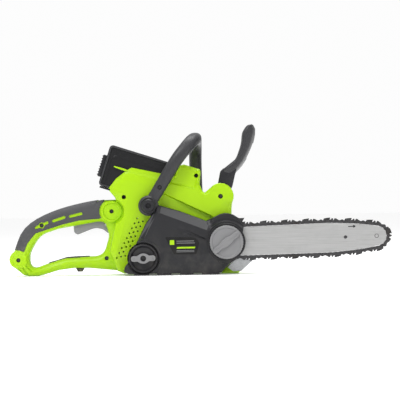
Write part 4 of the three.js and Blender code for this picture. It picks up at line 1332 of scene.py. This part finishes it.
arrow = on_bar(
    points((283, 18.2), (292, 18.2), (292, 16.2), (298.5, 19), (292, 21.8), (292, 19.8), (283, 19.8))
)
piece("running_direction_mark", "bar", "dark_plastic", *stacked(arrow, [(0, BAR_Y - 1.9), (0, BAR_Y - 2.06)]))

PITCHES, RIVET_OUT = 84, 3.9
CHAIN_TURN, DRIVE_R = 72, 20.5


def chain_line(out):
    """The chain's run beyond the bar's edge, from the drive sprocket over the top and round the nose."""
    upper = points((95, 25.8 + out), (250, 26.7 + out), (300, 23.4 + out))
    back = arc((0, 0), DRIVE_R + out, 180, 100, 24)
    front = arc((NOSE, 0), NOSE_R + out, CHAIN_TURN, 0, 24)
    top = np.vstack([back, upper, front])
    return np.vstack([top, top[-2:0:-1] * [1, -1]])


def rivet_places():
    """Places at even steps round the chain's closed run, its corners eased by a running mean."""
    ring = ring_of(chain_line(RIVET_OUT))
    reach = np.r_[0, np.cumsum(np.hypot(*np.diff(ring, axis=0).T))]
    fine = np.linspace(0, reach[-1], 1600, endpoint=False)
    dense = np.column_stack([np.interp(fine, reach, ring[:, k]) for k in (0, 1)])
    wrapped = np.vstack([dense[-12:], dense, dense[:12]])
    smooth = np.column_stack([np.convolve(wrapped[:, k], np.ones(25) / 25, "valid") for k in (0, 1)])
    ring = ring_of(smooth)
    reach = np.r_[0, np.cumsum(np.hypot(*np.diff(ring, axis=0).T))]
    even = np.linspace(0, reach[-1], PITCHES, endpoint=False)
    return np.column_stack([np.interp(even, reach, ring[:, k]) for k in (0, 1)])


rivet_at = rivet_places()
link_way = np.roll(rivet_at, -1, axis=0) - rivet_at
link_way /= np.hypot(*link_way.T)[:, None]
link_mid = (rivet_at + np.roll(rivet_at, -1, axis=0)) / 2


def placed(template, which, spots=link_mid, flip=1):
    """Copies of a link (verts as along, y, outward) set at the chosen places of the chain."""
    verts, faces = template
    way, spot = link_way[which], spots[which]
    out = np.column_stack([-way[:, 1], way[:, 0]])
    flat = spot[:, None] + verts[None, :, :1] * way[:, None] + verts[None, :, 2:] * out[:, None]
    world = on_bar(flat.reshape(-1, 2))
    y = BAR_Y + flip * np.tile(verts[:, 1], len(which))
    count = len(verts)
    many = [[n + count * k for n in face] for k in range(len(which)) for face in faces]
    return np.column_stack([world[:, 0], y, world[:, 1]]), many


HALF_LINK = 4.84
strap_side = np.vstack(
    [
        arc((HALF_LINK, 0), 3.5, -75, 105, 6), [[1.2, 1.9], [-1.2, 1.9]],
        arc((-HALF_LINK, 0), 3.5, 75, 255, 6), [[-1.4, -3.5], [1.4, -3.5]]
    ]
)
drive_side = np.vstack(
    [
        arc((HALF_LINK, 0), 3.3, -75, 70, 5), [[4.0, 4.6], [0.8, 5.4], [-1.2, 1.6]],
        arc((-HALF_LINK, 0), 3.3, 75, 255, 6), [[-1.6, -3.6], [1.6, -3.6]]
    ]
)
cutter_side = np.vstack(
    [
        arc((HALF_LINK, 0), 3.3, -75, 10, 3),
        [
            [7.8, 4.2], [6.6, 5.2], [5.2, 5.0], [3.8, 1.7], [2.6, 1.4], [1.7, 3.0], [2.5, 6.3], [-6.8, 5.4],
            [-7.8, 3.8]
        ],
        arc((-HALF_LINK, 0), 3.3, 190, 255, 4), [[-1.4, -3.5], [1.4, -3.5]]
    ]
)
strap = plate(strap_side, 1.35, 2.5)
drive = plate(drive_side, -0.62, 0.62)
cutter = plate(cutter_side, 1.35, 2.6)
top_ends = np.array(
    [
        [(2.6, -2.6, 6.4), (2.6, 1.0, 6.4), (2.6, 1.0, 5.2), (2.6, -2.6, 5.2)],
        [(-7.0, -2.6, 5.5), (-7.0, 0.2, 5.5), (-7.0, 0.2, 4.5), (-7.0, -2.6, 4.5)]
    ]
)
top_plate = loft(top_ends)
odd = np.arange(1, PITCHES, 2)
cutting = odd[::2]
sides = {-1: cutting[::2], 1: cutting[1::2]}
pin = turned([(0, -2.85), (1.1, -2.85), (1.45, -2.5), (1.45, 2.5), (1.1, 2.85), (0, 2.85)], (0, 0), 10)
parts = [placed(drive, np.arange(0, PITCHES, 2)), placed(pin, np.arange(PITCHES), rivet_at)]
for side, mine in sides.items():
    parts.append(placed(cutter, mine, flip=side))
    parts.append(placed(top_plate, mine, flip=-side))
    parts.append(placed(strap, np.setdiff1d(odd, mine), flip=side))
piece("saw_chain_links", "bar", "chain_steel", *put_together(*parts), ["saw_chain"], sharp=30)

# ------------------------------------------------------------------ plates under the bar
bumper = section("spiked_bumper", -46.0)
piece(
    "spiked_bumper_plate", "saw_body", "chain_steel", *plate(bumper[0], -48.6, -43.9, bumper[1:]),
    ["spiked_bumper"], bevel=0.5, sharp=40
)
catcher = section("chain_catcher", -46.0)
piece(
    "chain_catcher_plate", "saw_body", "aluminium", *plate(catcher[0], -48.4, -44.0, catcher[1:]),
    ["chain_catcher"], bevel=0.9, sharp=40
)


# ------------------------------------------------------------------ finishes of the carried-over parts
for part in frame["record"]["subparts"]:
    mesh = frame["nodes"][part["node"]].data
    mesh.materials.clear()
    mesh.materials.append(LOOKS[part["material_slot"]])

# ------------------------------------------------------------------ floor finish and light
pale_floor = Shader("pale floor")
pale_floor.finish(
    Base_Color=(0.97, 0.97, 0.97, 1.0),
    Roughness=0.9,
    Emission_Color=(1.0, 1.0, 1.0, 1.0),
    Emission_Strength=0.12,
)
floor.data.materials.append(pale_floor.material)


def lamp(name, place, aim, size, power):
    """A softbox at a place, facing its aim."""
    light = bpy.data.objects.new(name, bpy.data.lights.new(name, "AREA"))
    bpy.context.scene.collection.objects.link(light)
    light.data.shape, light.data.energy = "RECTANGLE", power
    light.data.size, light.data.size_y = size
    light.location = place
    light.rotation_euler = (Vector(aim) - Vector(place)).to_track_quat("-Z", "Y").to_euler()


lamp("key softbox", (-1.1, -1.9, 2.4), (0, 0, 0.1), (0.9, 0.7), 42)
lamp("fill softbox", (2.0, -2.4, 0.9), (0, 0, 0.1), (1.6, 1.6), 5)
lamp("top softbox", (0.1, 0.4, 2.4), (0, 0, 0.1), (1.8, 0.9), 36)
world = bpy.data.worlds.new("studio")
bpy.context.scene.world = world
world.use_nodes = True
sky = world.node_tree
toward = sky.nodes.new("ShaderNodeTexCoord")
split = sky.nodes.new("ShaderNodeSeparateXYZ")
glow = sky.nodes.new("ShaderNodeMapRange")
glow.inputs["From Min"].default_value, glow.inputs["From Max"].default_value = -0.3, 0.9
glow.inputs["To Min"].default_value, glow.inputs["To Max"].default_value = 0.14, 1.05
sky.links.new(toward.outputs["Generated"], split.inputs[0])
sky.links.new(split.outputs["Z"], glow.inputs["Value"])
sky.nodes["Background"].inputs["Color"].default_value = (1.0, 1.0, 1.0, 1.0)
seen = sky.nodes.new("ShaderNodeLightPath")
backdrop = sky.nodes.new("ShaderNodeMix")
backdrop.inputs[3].default_value = 0.98
sky.links.new(seen.outputs["Is Camera Ray"], backdrop.inputs[0])
sky.links.new(glow.outputs[0], backdrop.inputs[2])
sky.links.new(backdrop.outputs[0], sky.nodes["Background"].inputs["Strength"])
